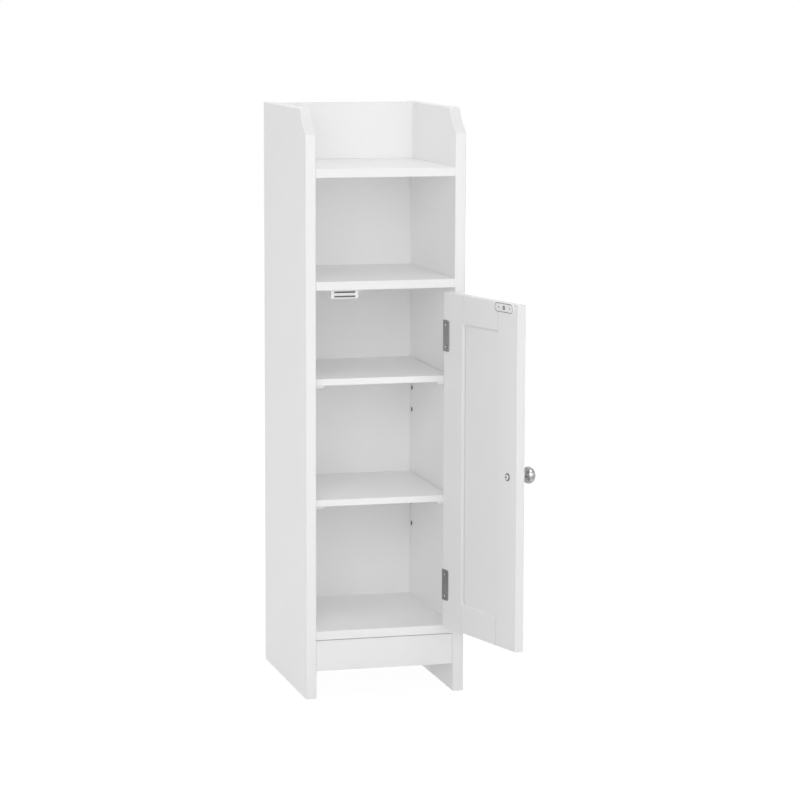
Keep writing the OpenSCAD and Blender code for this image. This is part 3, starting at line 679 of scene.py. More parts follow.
class Form:
    """A mesh in the making, in metres.

    Attributes:
        node_weld: Distance within which a CAD node's corners are one, in millimetres.
        seam_weld: The same for the seam of a turned shape.
        flat_turn: Turn in degrees under which neighbouring faces are one flat face.
        corner_turn: Turn in degrees over which an outer edge is a corner.
    """

    node_weld = 0.002
    seam_weld = 0.001
    flat_turn = 0.4
    corner_turn = 50.0

    def __init__(self) -> None:
        """Starts with an empty mesh."""
        self.bm = bmesh.new()

    @classmethod
    def of_node(cls, node: str) -> "Form":
        """Starts from a merged copy of a CAD node.

        Args:
            node: The CAD node's name.

        Returns:
            The form, with its flat faces whole again.
        """
        form = cls()
        form.bm.from_mesh(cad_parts[node].data)
        bmesh.ops.remove_doubles(form.bm, verts=form.bm.verts, dist=cls.node_weld * MM)
        bmesh.ops.dissolve_limit(
            form.bm,
            angle_limit=math.radians(cls.flat_turn),
            verts=form.bm.verts,
            edges=form.bm.edges,
        )
        return form

    @classmethod
    def turned(cls, profile: Sequence[Pair], steps: int) -> "Form":
        """Turns a profile about its own Z.

        Args:
            profile: Radius and height of each point, from one end to the other.
            steps: Steps in the full turn.

        Returns:
            The form, closed wherever the profile meets the axis.
        """
        form = cls()
        verts = [form.bm.verts.new(mm(r, 0.0, z)) for r, z in profile]
        edges = [form.bm.edges.new(pair) for pair in zip(verts, verts[1:])]
        bmesh.ops.spin(
            form.bm,
            geom=verts + edges,
            cent=(0.0, 0.0, 0.0),
            axis=UP,
            angle=math.tau,
            steps=steps,
            use_merge=True,
        )
        bmesh.ops.remove_doubles(form.bm, verts=form.bm.verts, dist=cls.seam_weld * MM)
        bmesh.ops.recalc_face_normals(form.bm, faces=form.bm.faces)
        return form

    def loop(self, points: Sequence[Pair], z: float) -> Edges:
        """Adds a closed line through points at a height, and returns its edges."""
        verts = [self.bm.verts.new(mm(x, y, z)) for x, y in points]
        return [self.bm.edges.new((v, verts[i - 1])) for i, v in enumerate(verts)]

    def ring(
        self,
        radius: float,
        z: float,
        steps: int,
        x: float = 0.0,
        spread: float = 0.0,
    ) -> Edges:
        """Adds a circle, or a stadium where its halves are spread apart.

        Args:
            radius: Radius of the circle.
            z: Its height.
            steps: Corners in it.
            x: Place of its middle on the form's own X.
            spread: How far each half moves out along X.

        Returns:
            Its edges.
        """
        place = Matrix.Translation(mm(x, 0.0, z)) @ Matrix.Rotation(math.pi / steps, 4, "Z")
        verts = bmesh.ops.create_circle(
            self.bm, cap_ends=False, radius=radius * MM, segments=steps, matrix=place
        )["verts"]
        for v in verts:
            v.co.x += math.copysign(spread * MM, v.co.x - x * MM)
        return list({e for v in verts for e in v.link_edges})

    def rim(self, z: float) -> Edges:
        """Returns the open edges at a height."""
        return [
            e
            for e in self.bm.edges
            if e.is_boundary and all(abs(v.co.z - z * MM) < HAIR for v in e.verts)
        ]

    def fill(self, edges: Edges) -> None:
        """Fills the flat region between closed lines."""
        bmesh.ops.triangle_fill(
            self.bm,
            use_beauty=True,
            use_dissolve=False,
            edges=list(edges),
            normal=UP,
        )

    def sink(
        self,
        edges: Edges,
        steps: Sequence[Pair],
        centre: Pair = (0.0, 0.0),
        closed: bool = True,
    ) -> None:
        """Sinks a closed line into the form.

        Args:
            edges: The line at the surface.
            steps: For each ring, its size against the line's and its drop below the last.
            centre: The point that the rings shrink to.
            closed: Whether the last ring gets a floor.
        """
        ring = list(edges)
        x, y = centre[0] * MM, centre[1] * MM
        size = 1.0
        for share, drop in steps:
            made = bmesh.ops.extrude_edge_only(self.bm, edges=ring)["geom"]
            verts = [g for g in made if isinstance(g, bmesh.types.BMVert)]
            ring = [
                g
                for g in made
                if isinstance(g, bmesh.types.BMEdge) and all(v in verts for v in g.verts)
            ]
            shrink = share / size
            for v in verts:
                across, along = x + (v.co.x - x) * shrink, y + (v.co.y - y) * shrink
                v.co = (across, along, v.co.z - drop * MM)
            size = share
        if closed:
            bmesh.ops.contextual_create(self.bm, geom=ring)

    def recess(self, points: Sequence[Pair], z: float, steps: Sequence[Pair]) -> None:
        """Closes the open top with a flat that has a recess in it.

        Args:
            points: Outline of the recess.
            z: Height of the flat.
            steps: Rings of the recess, as for sink.
        """
        rim = self.rim(z)
        outline = self.loop(points, z)
        self.fill([*rim, *outline])
        self.sink(outline, steps)
        bmesh.ops.recalc_face_normals(self.bm, faces=self.bm.faces)

    def join(self, other: "Form", place: Matrix) -> None:
        """Adds a placed copy of another form.

        Args:
            other: The other form.
            place: The matrix that places it in this one.
        """
        mesh = bpy.data.meshes.new("joined")
        other.bm.to_mesh(mesh)
        mesh.transform(place)
        self.bm.from_mesh(mesh)
        bpy.data.meshes.remove(mesh)

    def corners(self, second: bool = False) -> Edges:
        """Returns the outer edges away from the second look, or those beside it."""
        return [
            e
            for e in self.bm.edges
            if e.is_manifold
            and e.calc_face_angle_signed(0.0) > math.radians(self.corner_turn)
            and any(f.material_index for f in e.link_faces) is second
        ]

    def ease(
        self,
        edges: Edges,
        radius: float,
        segments: int = 2,
        clamp: bool = False,
    ) -> None:
        """Rounds edges inside the form's box; beside the second look they take that look.

        Args:
            edges: The edges to round.
            radius: Radius of the rounding.
            segments: Steps in it.
            clamp: Whether the roundings shrink until none of them overlap.
        """
        spread = [sorted(v.co[axis] for v in self.bm.verts) for axis in range(3)]
        rounded = bmesh.ops.bevel(
            self.bm,
            geom=edges,
            offset=radius * MM,
            offset_type="OFFSET",
            segments=segments,
            profile=0.5,
            affect="EDGES",
            clamp_overlap=clamp,
            material=-1,
        )["faces"]
        for v in self.bm.verts:
            v.co = [min(max(c, line[0]), line[-1]) for c, line in zip(v.co, spread)]
        for _ in range(segments):
            beside = [
                face
                for face in rounded
                if any(near.material_index for edge in face.edges for near in edge.link_faces)
            ]
            for face in beside:
                face.material_index = SECOND

    def bare_and_shaded_bores(
        self,
        reach: float = 25.0,
        widest: float = 20.0,
        lift: float = 0.02,
        around: int = 8,
        needed: int = 6,
    ) -> None:
        """Gives the faces inside bores the second look, told by rays that meet the bore again;
        on the boards that look is raw fibreboard darkened as painted shade.

        Args:
            reach: How near the opposite wall of a bore is.
            widest: Longest edge of a face that can belong to a bore.
            lift: How far in front of the face the rays start.
            around: How many rays lean out around the straight one.
            needed: How many of all these rays meet the form inside a bore.
        """
        tree = BVHTree.FromBMesh(self.bm)
        for face in self.bm.faces:
            if max(e.calc_length() for e in face.edges) > widest * MM:
                continue
            normal = face.normal
            side = normal.orthogonal().normalized()
            start = face.calc_center_median() + normal * lift * MM
            leans = (Matrix.Rotation(i * math.tau / around, 3, normal) for i in range(around))
            rays = [normal, *((normal + lean @ side).normalized() for lean in leans)]
            met = sum(tree.ray_cast(start, ray, reach * MM)[0] is not None for ray in rays)
            face.material_index = SECOND if met >= needed else 0

    def beyond(self, place: Matrix, cut: Cut) -> None:
        """Gives the part beyond a plane the piece's second look.

        Args:
            place: Where the plane's own frame lies.
            cut: A point of the plane, and the direction towards the part.
        """
        spot, normal = place @ mm(*cut[0]), place.to_3x3() @ Vector(cut[1])
        bmesh.ops.bisect_plane(
            self.bm,
            geom=[*self.bm.verts, *self.bm.edges, *self.bm.faces],
            dist=HAIR,
            plane_co=spot,
            plane_no=normal,
        )
        for face in self.bm.faces:
            if (face.calc_center_median() - spot).dot(normal) > 0.0:
                face.material_index = SECOND

    def second_look(self, picked: Callable[[Vector], bool]) -> None:
        """Gives picked faces the piece's second look.

        Args:
            picked: Tells from a face's middle, in millimetres, whether it is picked.
        """
        for face in self.bm.faces:
            if picked(face.calc_center_median() / MM):
                face.material_index = SECOND

    def piece(
        self,
        badge: Badge,
        finishes: Finishes,
        crisp: float = BOARD_CRISP,
        place: Matrix | None = None,
    ) -> bpy.types.Object:
        """Turns the form into a finished piece.

        Args:
            badge: What the piece is.
            finishes: The materials.
            crisp: Turn in degrees from which an edge stays crisp.
            place: Where the form goes in the frame, if it is not there yet.

        Returns:
            The new object.
        """
        mesh = bpy.data.meshes.new(badge.name)
        self.bm.to_mesh(mesh)
        self.bm.free()
        if place is not None:
            mesh.transform(place)
        mesh.shade_smooth()
        mesh.set_sharp_from_angle(angle=math.radians(crisp))
        for look in badge.looks:
            mesh.materials.append(finishes.of(look))
        made = put_in_scene(badge.name, mesh)
        weighted = made.modifiers.new("even_shading", "WEIGHTED_NORMAL")
        weighted.mode = "FACE_AREA"
        weighted.weight = 50
        weighted.keep_sharp = True
        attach(made, badge.body.value)
        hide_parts(*badge.nodes)
        return made


@dataclass(frozen=True)
class EasedSet:
    """CAD nodes of one finish that get the same easing along their edges."""

    body: Body
    slot: Slot
    looks: tuple[Look, ...]
    nodes: tuple[str, ...]
    radius: float
    segments: int = 2
    suffix: str = "finished"
    mouth: float = 0.0
    clamp: bool = False

    def build(self, finishes: Finishes) -> Pieces:
        """Builds one piece for each node; a second look goes into its bores and their rounded
        mouths, on the boards raw fibreboard darkened as painted shade.

        Args:
            finishes: The materials.

        Returns:
            The new objects.
        """
        made = []
        for node in self.nodes:
            form = Form.of_node(node)
            if len(self.looks) > 1:
                form.bare_and_shaded_bores()
            form.ease(form.corners(), self.radius, self.segments, self.clamp)
            # The bores' rounded mouths take the same painted shade
            if self.mouth:
                form.ease(form.corners(second=True), self.mouth, self.segments)
            badge = Badge(f"{node}.{self.suffix}", self.body, self.slot, self.looks, (node,))
            made.append(form.piece(badge, finishes))
        return made


@dataclass
class Assembly:
    """A sub-assembly of the cabinet.

    Attributes:
        finishes: The materials.
        swing: The turn that opens the door.
    """

    finishes: Finishes
    swing: Matrix

    def copies(self) -> list[EasedSet]:
        """Plans the eased copies of CAD nodes; there are none unless a class names some."""
        return []

    def shaped(self) -> Pieces:
        """Builds the pieces that need more; there are none unless a class names some."""
        return []

    def build(self) -> Pieces:
        """Builds every piece, the eased copies first."""
        copies = [piece for eased in self.copies() for piece in eased.build(self.finishes)]
        return copies + self.shaped()


# Sub-assemblies


@dataclass
class Carcass(Assembly):
    """The boards of the carcass: lacquered, eased along every edge, and raw in their bores and
    round their mouths, darkened there nearly to black as painted shade.
    """

    side_ease: float = 0.5
    side_steps: int = 3
    side_mouth: float = 1.0
    board_ease: float = 0.4
    board_steps: int = 2
    sides: tuple[str, ...] = ("left_side_panel", "right_side_panel")
    boards: tuple[str, ...] = (
        "back_panel",
        "tray_back_board",
        "top_shelf",
        "middle_shelf",
        "bottom_shelf",
        "toe_kick",
        "upper_adjustable_shelf",
        "lower_adjustable_shelf",
    )

    def copies(self) -> list[EasedSet]:
        """Plans the boards.

        Returns:
            The side panels, and the boards between them.
        """
        # The second look is raw fibreboard darkened as painted shade
        looks = (Look.LACQUER, Look.RAW_BOARD_IN_PAINTED_SHADE)
        plans = (
            (self.sides, self.side_ease, self.side_steps, self.side_mouth),
            (self.boards, self.board_ease, self.board_steps, 0.0),
        )
        return [
            EasedSet(Body.CARCASS, Slot.BOARD, looks, nodes, ease, steps, "lacquered", mouth)
            for nodes, ease, steps, mouth in plans
        ]


@dataclass
class Door(Assembly):
    """The framed door: stiles, rails and centre panel, with painted shade along the seams
    between them, round the panel and on the stiles' walls that face it.
    """

    ease: float = 0.5
    hinge_stile: str = "door_hinge_stile"
    free_stile: str = "door_free_stile"
    rails: tuple[str, ...] = ("door_top_rail", "door_bottom_rail")
    rail_ends: Pair = (66.0, 158.0)
    seam_shade_w: float = 1.2
    wall_inset: float = 0.15
    panel: str = "door_centre_panel"
    field_sides: Pair = (68.1, 155.9)
    field_top: float = 520.9
    shade_w: float = 1.8

    def cuts(self) -> dict[str, tuple[Cut, ...]]:
        """Finds where the painted shade begins.

        Returns:
            For each node, the planes that its painted-shade parts lie beyond.
        """
        free, hinged = self.rail_ends
        left, right = self.field_sides
        seams = (
            upright(free + self.seam_shade_w, -1.0),
            upright(hinged - self.seam_shade_w, 1.0),
        )
        rim = (
            upright(left + self.shade_w, -1.0),
            upright(right - self.shade_w, 1.0),
            ((0.0, 0.0, self.field_top - self.shade_w), UP),
        )
        return {
            self.hinge_stile: (upright(hinged - self.wall_inset, -1.0),),
            self.free_stile: (upright(free + self.wall_inset, 1.0),),
            **{rail: seams for rail in self.rails},
            self.panel: rim,
        }

    def shaped(self) -> Pieces:
        """Builds the frame and its panel.

        Returns:
            The new objects, with painted shade along their joints, round the panel and on the
            stiles' walls beside it.
        """
        # The second look is lacquer darkened as painted shade
        looks = (Look.LACQUER, Look.PAINTED_SHADE)
        made = []
        for node, cuts in self.cuts().items():
            form = Form.of_node(node)
            form.ease(form.corners(), self.ease)
            # Beyond each plane the lacquer takes painted shade
            for cut in cuts:
                form.beyond(self.swing, cut)
            badge = Badge(f"{node}.lacquered", Body.DOOR, Slot.BOARD, looks, (node,))
            made.append(form.piece(badge, self.finishes))
        return made


@dataclass(frozen=True)
class CrossScrew:
    """A countersunk wood screw with a cross recess and a sunk ring round its crown."""

    head_r: float = 2.65
    head_h: float = 1.7
    lip: float = 0.1
    ring_z: float = -0.6
    crown_r: float = 1.6
    crown_z: float = -0.05
    crown_slope: float = 0.12
    shank_r: float = 1.4
    length: float = 10.0
    tip: float = 2.5
    thread_pitch: float = 0.7
    thread_depth: float = 0.25
    smooth_turns: float = 1.5
    recess_reach: float = 0.9
    recess_w: float = 0.4
    recess_rings: tuple[Pair, ...] = ((0.8, 0.4), (0.45, 0.8))
    steps: int = 32

    def profile(self) -> list[Pair]:
        """Finds the turned outline.

        Returns:
            Radius and height of each point, from the tip up to the crown.
        """
        core = self.shank_r - self.thread_depth
        z = self.tip - self.length
        line = [(0.0, -self.length), (core, z)]
        while z < -self.head_h - self.smooth_turns * self.thread_pitch:
            line += [(self.shank_r, z + self.thread_pitch / 2), (core, z + self.thread_pitch)]
            z += self.thread_pitch
        return [
            *line,
            (core, -self.head_h),
            (self.head_r, self.ring_z - self.lip),
            (self.head_r - self.lip, self.ring_z),
            (self.crown_r + self.crown_slope, self.ring_z),
            (self.crown_r, self.crown_z),
        ]

    def cross(self) -> list[Pair]:
        """Finds the recess's outline.

        Returns:
            Its corners, three in each quarter turn.
        """
        far, near = self.recess_reach, self.recess_w / 2
        quarter = [(far, -near), (far, near), (near, near)]
        turns = ((1, 0, 0, 1), (0, -1, 1, 0), (-1, 0, 0, -1), (0, 1, -1, 0))
        return [(a * x + b * y, c * x + d * y) for a, b, c, d in turns for x, y in quarter]

    def form(self) -> Form:
        """Shapes one screw about its own Z, with its head's face at 0.

        Returns:
            The form; all of it but the crown has the second look, painted shade in the recess
            and the sunk ring.
        """
        made = Form.turned(self.profile(), self.steps)
        made.recess(self.cross(), self.crown_z, self.recess_rings)
        made.second_look(lambda point: point.z < self.crown_z - JUST)
        return made

    def build(
        self,
        node: str,
        body: Body,
        slot: Slot,
        places: Iterable[Matrix],
        finishes: Finishes,
    ) -> bpy.types.Object:
        """Builds all screws of one CAD node as one piece.

        Args:
            node: The CAD node.
            body: The body that they ride on.
            slot: Their material slot.
            places: Where each of them goes in the frame.
            finishes: The materials.

        Returns:
            The new object.
        """
        made = Form()
        for place in places:
            made.join(self.form(), place)
        # The recess and the sunk ring take painted shade
        badge = Badge(f"{node}.turned", body, slot, (Look.SCREW, Look.PAINTED_RECESS_SHADE), (node,))
        return made.piece(badge, finishes, TURNED_CRISP)


@dataclass(frozen=True)
class SlotScrew:
    """The knob's screw: a low round head with a slot, and its long shank."""

    length: float = 22.5
    shank_r: float = 2.0
    end_r: float = 1.6
    end_h: float = 0.5
    seat_z: float = 0.02
    foot_r: float = 4.5
    foot_z: float = 0.35
    head_r: float = 5.0
    head_z: Pair = (0.5, 0.9)
    ring_r: Pair = (3.75, 4.7)
    ring_z: float = 1.2
    crown_r: Pair = (2.8, 3.5)
    crown_z: float = 1.5
    top_z: float = 2.0
    dark_z: float = 1.24
    slot_w: float = 1.2
    slot_l: float = 4.8
    slot_ring: Pair = (0.98, 1.1)
    slot_reach: float = 2.6
    steps: int = 48

    def profile(self) -> list[Pair]:
        """Finds the turned outline.

        Returns:
            Radius and height of each point, from the shank's end up to the crown.
        """
        return [
            (0.0, -self.length),
            (self.end_r, -self.length),
            (self.shank_r, self.end_h - self.length),
            (self.shank_r, self.seat_z),
            (self.foot_r, self.seat_z),
            (self.foot_r, self.foot_z),
            *((self.head_r, z) for z in self.head_z),
            *((r, self.ring_z) for r in reversed(self.ring_r)),
            (self.crown_r[1], self.crown_z),
            (self.crown_r[0], self.top_z),
        ]

    def dark(self, point: Vector) -> bool:
        """Tells whether a point lies in the slot or below the crown, where shade is painted."""
        in_slot = point.z < self.top_z - JUST and point.xy.length < self.slot_reach
        return in_slot or point.z < self.dark_z

    def form(self) -> Form:
        """Shapes the screw about its own Z, with the underside of its head at 0.

        Returns:
            The form; all of it but the crown has the second look, painted shade in the slot and
            the ring.
        """
        made = Form.turned(self.profile(), self.steps)
        x, y = self.slot_l / 2, self.slot_w / 2
        made.recess([(-x, -y), (x, -y), (x, y), (-x, y)], self.top_z, (self.slot_ring,))
        made.second_look(self.dark)
        return made


@dataclass
class StrikePlate(Assembly):
    """The catch's steel plate: a pressed groove, two dimples and a dished screw hole."""

    place: Triple = (50.5, 13.0, 554.2)
    length: float = 46.0
    width: float = 13.0
    thickness: float = 1.0
    rim: float = 0.3
    groove: Pair = (0.5, 1.2)
    groove_depth: float = 0.3
    groove_slope: float = 0.2
    steps: int = 44
    dimple_x: float = 13.4
    dimple_r: float = 2.1
    dimple_dark_r: float = 1.0
    dimple_rings: tuple[Pair, ...] = ((0.8, 0.25), (0.5, 0.2), (0.2, 0.08))
    dimple_steps: int = 24
    hole_r: float = 2.95
    hole_ring: Pair = (0.62, 0.98)
    hole_steps: int = 32
    skin: float = 0.05
    screw: CrossScrew = CrossScrew()

    def spread(self) -> float:
        """Returns how far the middles of the round ends lie from the plate's middle."""
        return (self.length - self.width) / 2

    def form(self) -> Form:
        """Shapes the plate about its own Z, with its underside at 0.

        Returns:
            The form; its groove, screw hole and dimples' middles have the second look, painted
            shade.
        """
        made = Form()
        radius, top = self.width / 2, self.thickness
        outer, inner = self.groove
        floor = top - self.groove_depth
        rings = (
            (0.0, 0.0),
            (0.0, top - self.rim),
            (self.rim, top),
            (outer, top),
            (outer + self.groove_slope, floor),
            (inner - self.groove_slope, floor),
            (inner, top),
        )
        loops = [
            made.ring(radius - inset, z, self.steps, spread=self.spread()) for inset, z in rings
        ]
        for lower, upper in zip(loops, loops[1:]):
            bmesh.ops.bridge_loops(made.bm, edges=lower + upper)
        bmesh.ops.contextual_create(made.bm, geom=loops[0])
        middles = (-self.dimple_x, self.dimple_x)
        dimples = [made.ring(self.dimple_r, top, self.dimple_steps, x) for x in middles]
        hole = made.ring(self.hole_r, top, self.hole_steps)
        made.fill([*loops[-1], *hole, *(edge for dimple in dimples for edge in dimple)])
        for x, dimple in zip(middles, dimples):
            made.sink(dimple, self.dimple_rings, (x, 0.0))
        made.sink(hole, (self.hole_ring,), closed=False)
        bmesh.ops.recalc_face_normals(made.bm, faces=made.bm.faces)
        made.second_look(self.dark)
        return made

    def dark(self, point: Vector) -> bool:
        """Tells where shade is painted.

        Args:
            point: A point on the plate, in millimetres.

        Returns:
            Whether it lies in the groove, the screw hole or a dimple's middle.
        """
        if point.xy.length < self.hole_r - self.skin:
            return True
        if math.hypot(abs(point.x) - self.dimple_x, point.y) < self.dimple_dark_r:
            return True
        past_middle = max(abs(point.x) - self.spread(), 0.0)
        inset = self.width / 2 - math.hypot(past_middle, point.y)
        outer, inner = self.groove
        return outer < inset < inner and 0.0 < point.z < self.thickness - self.skin

    def shaped(self) -> Pieces:
        """Builds the plate and its screw on the open door.

        Returns:
            The new objects.
        """
        x, y, z = self.place
        # The groove, the hole and the dimples' middles take painted shade
        looks = (Look.ZINC, Look.PAINTED_RECESS_SHADE)
        badge = Badge("strike_plate.pressed", Body.DOOR, Slot.PLATED, looks, ("strike_plate",))
        on_door = self.swing @ seat(self.place, BACK)
        on_plate = [self.swing @ seat((x, y + self.thickness, z), BACK)]
        return [
            self.form().piece(badge, self.finishes, TURNED_CRISP, on_door),
            self.screw.build("strike_screw", Body.DOOR, Slot.PLATED, on_plate, self.finishes),
        ]


@dataclass
class Knob(Assembly):
    """The turned knob with its slim neck and rounded head, and the screw that holds it."""

    place: Triple = (39.0, 0.5, 329.5)
    door_t: float = 12.5
    foot_r: float = 6.5
    foot_h: float = 1.2
    lip: float = 0.35
    neck_r: float = 4.2
    neck_from: float = 4.0
    cove_steps: int = 6
    head_r: float = 11.75
    head_half: float = 8.25
    head_steps: int = 26
    reach: float = 28.5
    bore_r: float = 2.1
    bore_depth: float = 11.0
    steps: int = 72
    crisp: float = 40.0
    slot_lean: float = 0.35
    screw: SlotScrew = SlotScrew()

    def profile(self) -> list[Pair]:
        """Finds the turned outline.

        Returns:
            Radius and height of each point, from the bore's floor round to the crown.
        """
        line = [
            (0.0, self.bore_depth),
            (self.bore_r, self.bore_depth),
            (self.bore_r, 0.0),
            (self.foot_r - self.lip, 0.0),
            (self.foot_r, self.lip),
            (self.foot_r, self.foot_h - self.lip),
            (self.foot_r - self.lip, self.foot_h),
        ]
        wide = self.foot_r - self.lip - self.neck_r
        tall = self.neck_from - self.foot_h
        for i in range(1, self.cove_steps + 1):
            a = math.pi / 2 * i / self.cove_steps
            line.append(
                (self.neck_r + wide * (1 - math.sin(a)), self.foot_h + tall * (1 - math.cos(a)))
            )
        middle = self.reach - self.head_half
        start = -math.acos(self.neck_r / self.head_r)
        for i in range(self.head_steps + 1):
            a = start + (math.pi / 2 - start) * i / self.head_steps
            line.append((self.head_r * math.cos(a), middle + self.head_half * math.sin(a)))
        return line

    def shaped(self) -> Pieces:
        """Builds the knob and its screw on the open door.

        Returns:
            The new objects.
        """
        x, y, z = self.place
        # The slot and the ring round the crown take painted shade
        looks = (Look.SCREW, Look.PAINTED_RECESS_SHADE)
        knob = Badge("knob.turned", Body.DOOR, Slot.CHROME, (Look.CHROME,), ("knob",))
        fixing = Badge("knob_screw.turned", Body.DOOR, Slot.PLATED, looks, ("knob_screw",))
        front = self.swing @ seat(self.place, FRONT)
        lean = (self.slot_lean, 0.0, 1.0)
        inner = self.swing @ seat((x, y + self.door_t, z), BACK, lean)
        turned = Form.turned(self.profile(), self.steps)
        return [
            turned.piece(knob, self.finishes, self.crisp, front),
            self.screw.form().piece(fixing, self.finishes, TURNED_CRISP, inner),
        ]


@dataclass
class Hinges(Assembly):
    """Both hinges: rolled leaves, pins, and the screws in each leaf."""

    heights: Pair = (501.5, 155.25)
    pitch: float = 30.0
    door_x: float = 199.7
    door_y: float = 14.0
    frame_x: float = 209.0
    frame_y: float = 18.5
    ease: float = 0.2
    steps: int = 3
    screw: CrossScrew = CrossScrew()

    def copies(self) -> list[EasedSet]:
        """Plans the leaves and pins.

        Returns:
            The sets of each body and each tone of nickel; the lower hinge's darker tone is
            painted shade.
        """
        plans = (
            (Body.CARCASS, Look.NICKEL, ("upper_hinge_frame_leaf", "upper_hinge_pin")),
            # The lower hinge's darker nickel is painted shade
            (Body.CARCASS, Look.NICKEL_IN_PAINTED_SHADE, ("lower_hinge_frame_leaf", "lower_hinge_pin")),
            (Body.DOOR, Look.NICKEL, ("upper_hinge_door_leaf",)),
            (Body.DOOR, Look.NICKEL_IN_PAINTED_SHADE, ("lower_hinge_door_leaf",)),
        )
        return [
            EasedSet(body, Slot.HINGE, (look,), nodes, self.ease, self.steps, "rolled")
            for body, look, nodes in plans
        ]

    def shaped(self) -> Pieces:
        """Builds the screws of the door leaves and those of the frame leaves.

        Returns:
            The new objects.
        """
        rows = [z + side * self.pitch / 2 for z in self.heights for side in (-1, 1)]
        door = [self.swing @ seat((self.door_x, self.door_y, z), BACK) for z in rows]
        side = [seat((self.frame_x, self.frame_y, z), LEFT) for z in rows]
        kinds = (
            ("hinge_door_screws", Body.DOOR, door),
            ("hinge_frame_screws", Body.CARCASS, side),
        )
        return [
            self.screw.build(node, body, Slot.HINGE, places, self.finishes)
            for node, body, places in kinds
        ]


@dataclass
class MagneticCatch(Assembly):
    """The catch under the middle shelf: moulded housing, pole plates, magnet and screws."""

    middle: float = 58.5
    screw_x: float = 23.625
    screw_y: float = 19.8
    ear_z: float = 563.3
    housing_ease: float = 0.5
    pole_ease: float = 0.15
    magnet_ease: float = 0.3
    screw: CrossScrew = CrossScrew(length=10.2)

    def copies(self) -> list[EasedSet]:
        """Plans the housing, the pole plates and the magnet.

        Returns:
            One set for each.
        """
        plans = (
            (Slot.PLASTIC, Look.PLASTIC, "catch_housing", self.housing_ease),
            # The pole plates' darkened steel is painted shade
            (Slot.HINGE, Look.POLE, "catch_pole_plates", self.pole_ease),
            (Slot.MAGNET, Look.FERRITE, "catch_magnet", self.magnet_ease),
        )
        return [
            EasedSet(Body.CARCASS, slot, (look,), (node,), ease)
            for slot, look, node, ease in plans
        ]

    def shaped(self) -> Pieces:
        """Builds the screws in the ears.

        Returns:
            The new object.
        """
        middles = (self.middle - self.screw_x, self.middle + self.screw_x)
        ears = [seat((x, self.screw_y, self.ear_z), DOWN, BACK) for x in middles]
        made = self.screw.build("catch_screws", Body.CARCASS, Slot.PLATED, ears, self.finishes)
        return [made]


@dataclass
class Joinery(Assembly):
    """The shelf supports and the cams, bolts, dowels and screws that join the boards."""

    support_ease: float = 0.25
    metal_ease: float = 0.15
    dowel_ease: float = 0.3
    supports: tuple[str, ...] = ("upper_shelf_supports", "lower_shelf_supports")
    metal: tuple[str, ...] = ("cam_locks", "cam_bolts", "back_panel_screws")
    dowels: tuple[str, ...] = ("dowels",)

    def copies(self) -> list[EasedSet]:
        """Plans all of it.

        Returns:
            One set for each material.
        """
        plans = (
            (Slot.PLASTIC, Look.PLASTIC, self.supports, self.support_ease),
            (Slot.PLATED, Look.ZINC, self.metal, self.metal_ease),
            (Slot.BEECH, Look.BEECH, self.dowels, self.dowel_ease),
        )
        return [
            EasedSet(Body.CARCASS, slot, (look,), nodes, ease, clamp=slot is Slot.PLASTIC)
            for slot, look, nodes, ease in plans
        ]


# Studio


@dataclass(frozen=True)
class StudioCamera:
    """The camera, at the photograph's viewing angle."""

    position: Triple = (-920.077, -3944.308, 985.824)
    yaw: float = 14.944
    pitch: float = 7.994
    roll: float = 0.161
    lens: float = 135.395
    sensor: float = 36.0
    sight: float = 60000.0

    def build(self) -> None:
        """Makes the camera and gives it to the scene."""
        data = bpy.data.cameras.new("studio_camera")
        data.lens = self.lens
        data.sensor_width = self.sensor
        data.clip_end = self.sight * MM
        camera = put_in_scene("studio_camera", data)
        turn = (
            Matrix.Rotation(-math.radians(self.yaw), 4, "Z")
            @ Matrix.Rotation(math.radians(90.0 - self.pitch), 4, "X")
            @ Matrix.Rotation(math.radians(self.roll), 4, "Z")
        )
        camera.matrix_world = Matrix.Translation(mm(*self.position)) @ turn
        bpy.context.scene.camera = camera


@dataclass(frozen=True)
class SoftBox:
    """A square area lamp that faces the cabinet; its power is in watts."""

    name: str
    place: Triple
    power: float
    side: float = 1600.0
    aim: Triple = (112.0, 130.0, 405.0)

    def build(self) -> None:
        """Makes the lamp."""
        data = bpy.data.lights.new(self.name, "AREA")
        data.shape = "SQUARE"
        data.size = self.side * MM
        data.energy = self.power
        lamp = put_in_scene(self.name, data)
        facing = (mm(*self.aim) - mm(*self.place)).to_track_quat("-Z", "Y")
        lamp.matrix_world = Matrix.Translation(mm(*self.place)) @ facing.to_matrix().to_4x4()
        lamp.visible_camera = False


@dataclass(frozen=True)
class Glow:
    """A broad soft light from one side of the surroundings."""

    towards: Triple
    strength: float

    def level(self, nodes: Nodes, direction: Socket) -> Socket:
        """Adds the nodes that work out the glow's level.

        Args:
            nodes: The world's nodes.
            direction: The direction that a ray leaves in.

        Returns:
            The level in that direction.
        """
        axis = tuple(Vector(self.towards).normalized())
        facing = nodes.add("VectorMath", {0: direction, 1: axis}, operation="DOT_PRODUCT")
        lit = nodes.maths("MAXIMUM", facing.outputs["Value"], 0.0)
        return nodes.maths("MULTIPLY", lit, self.strength)


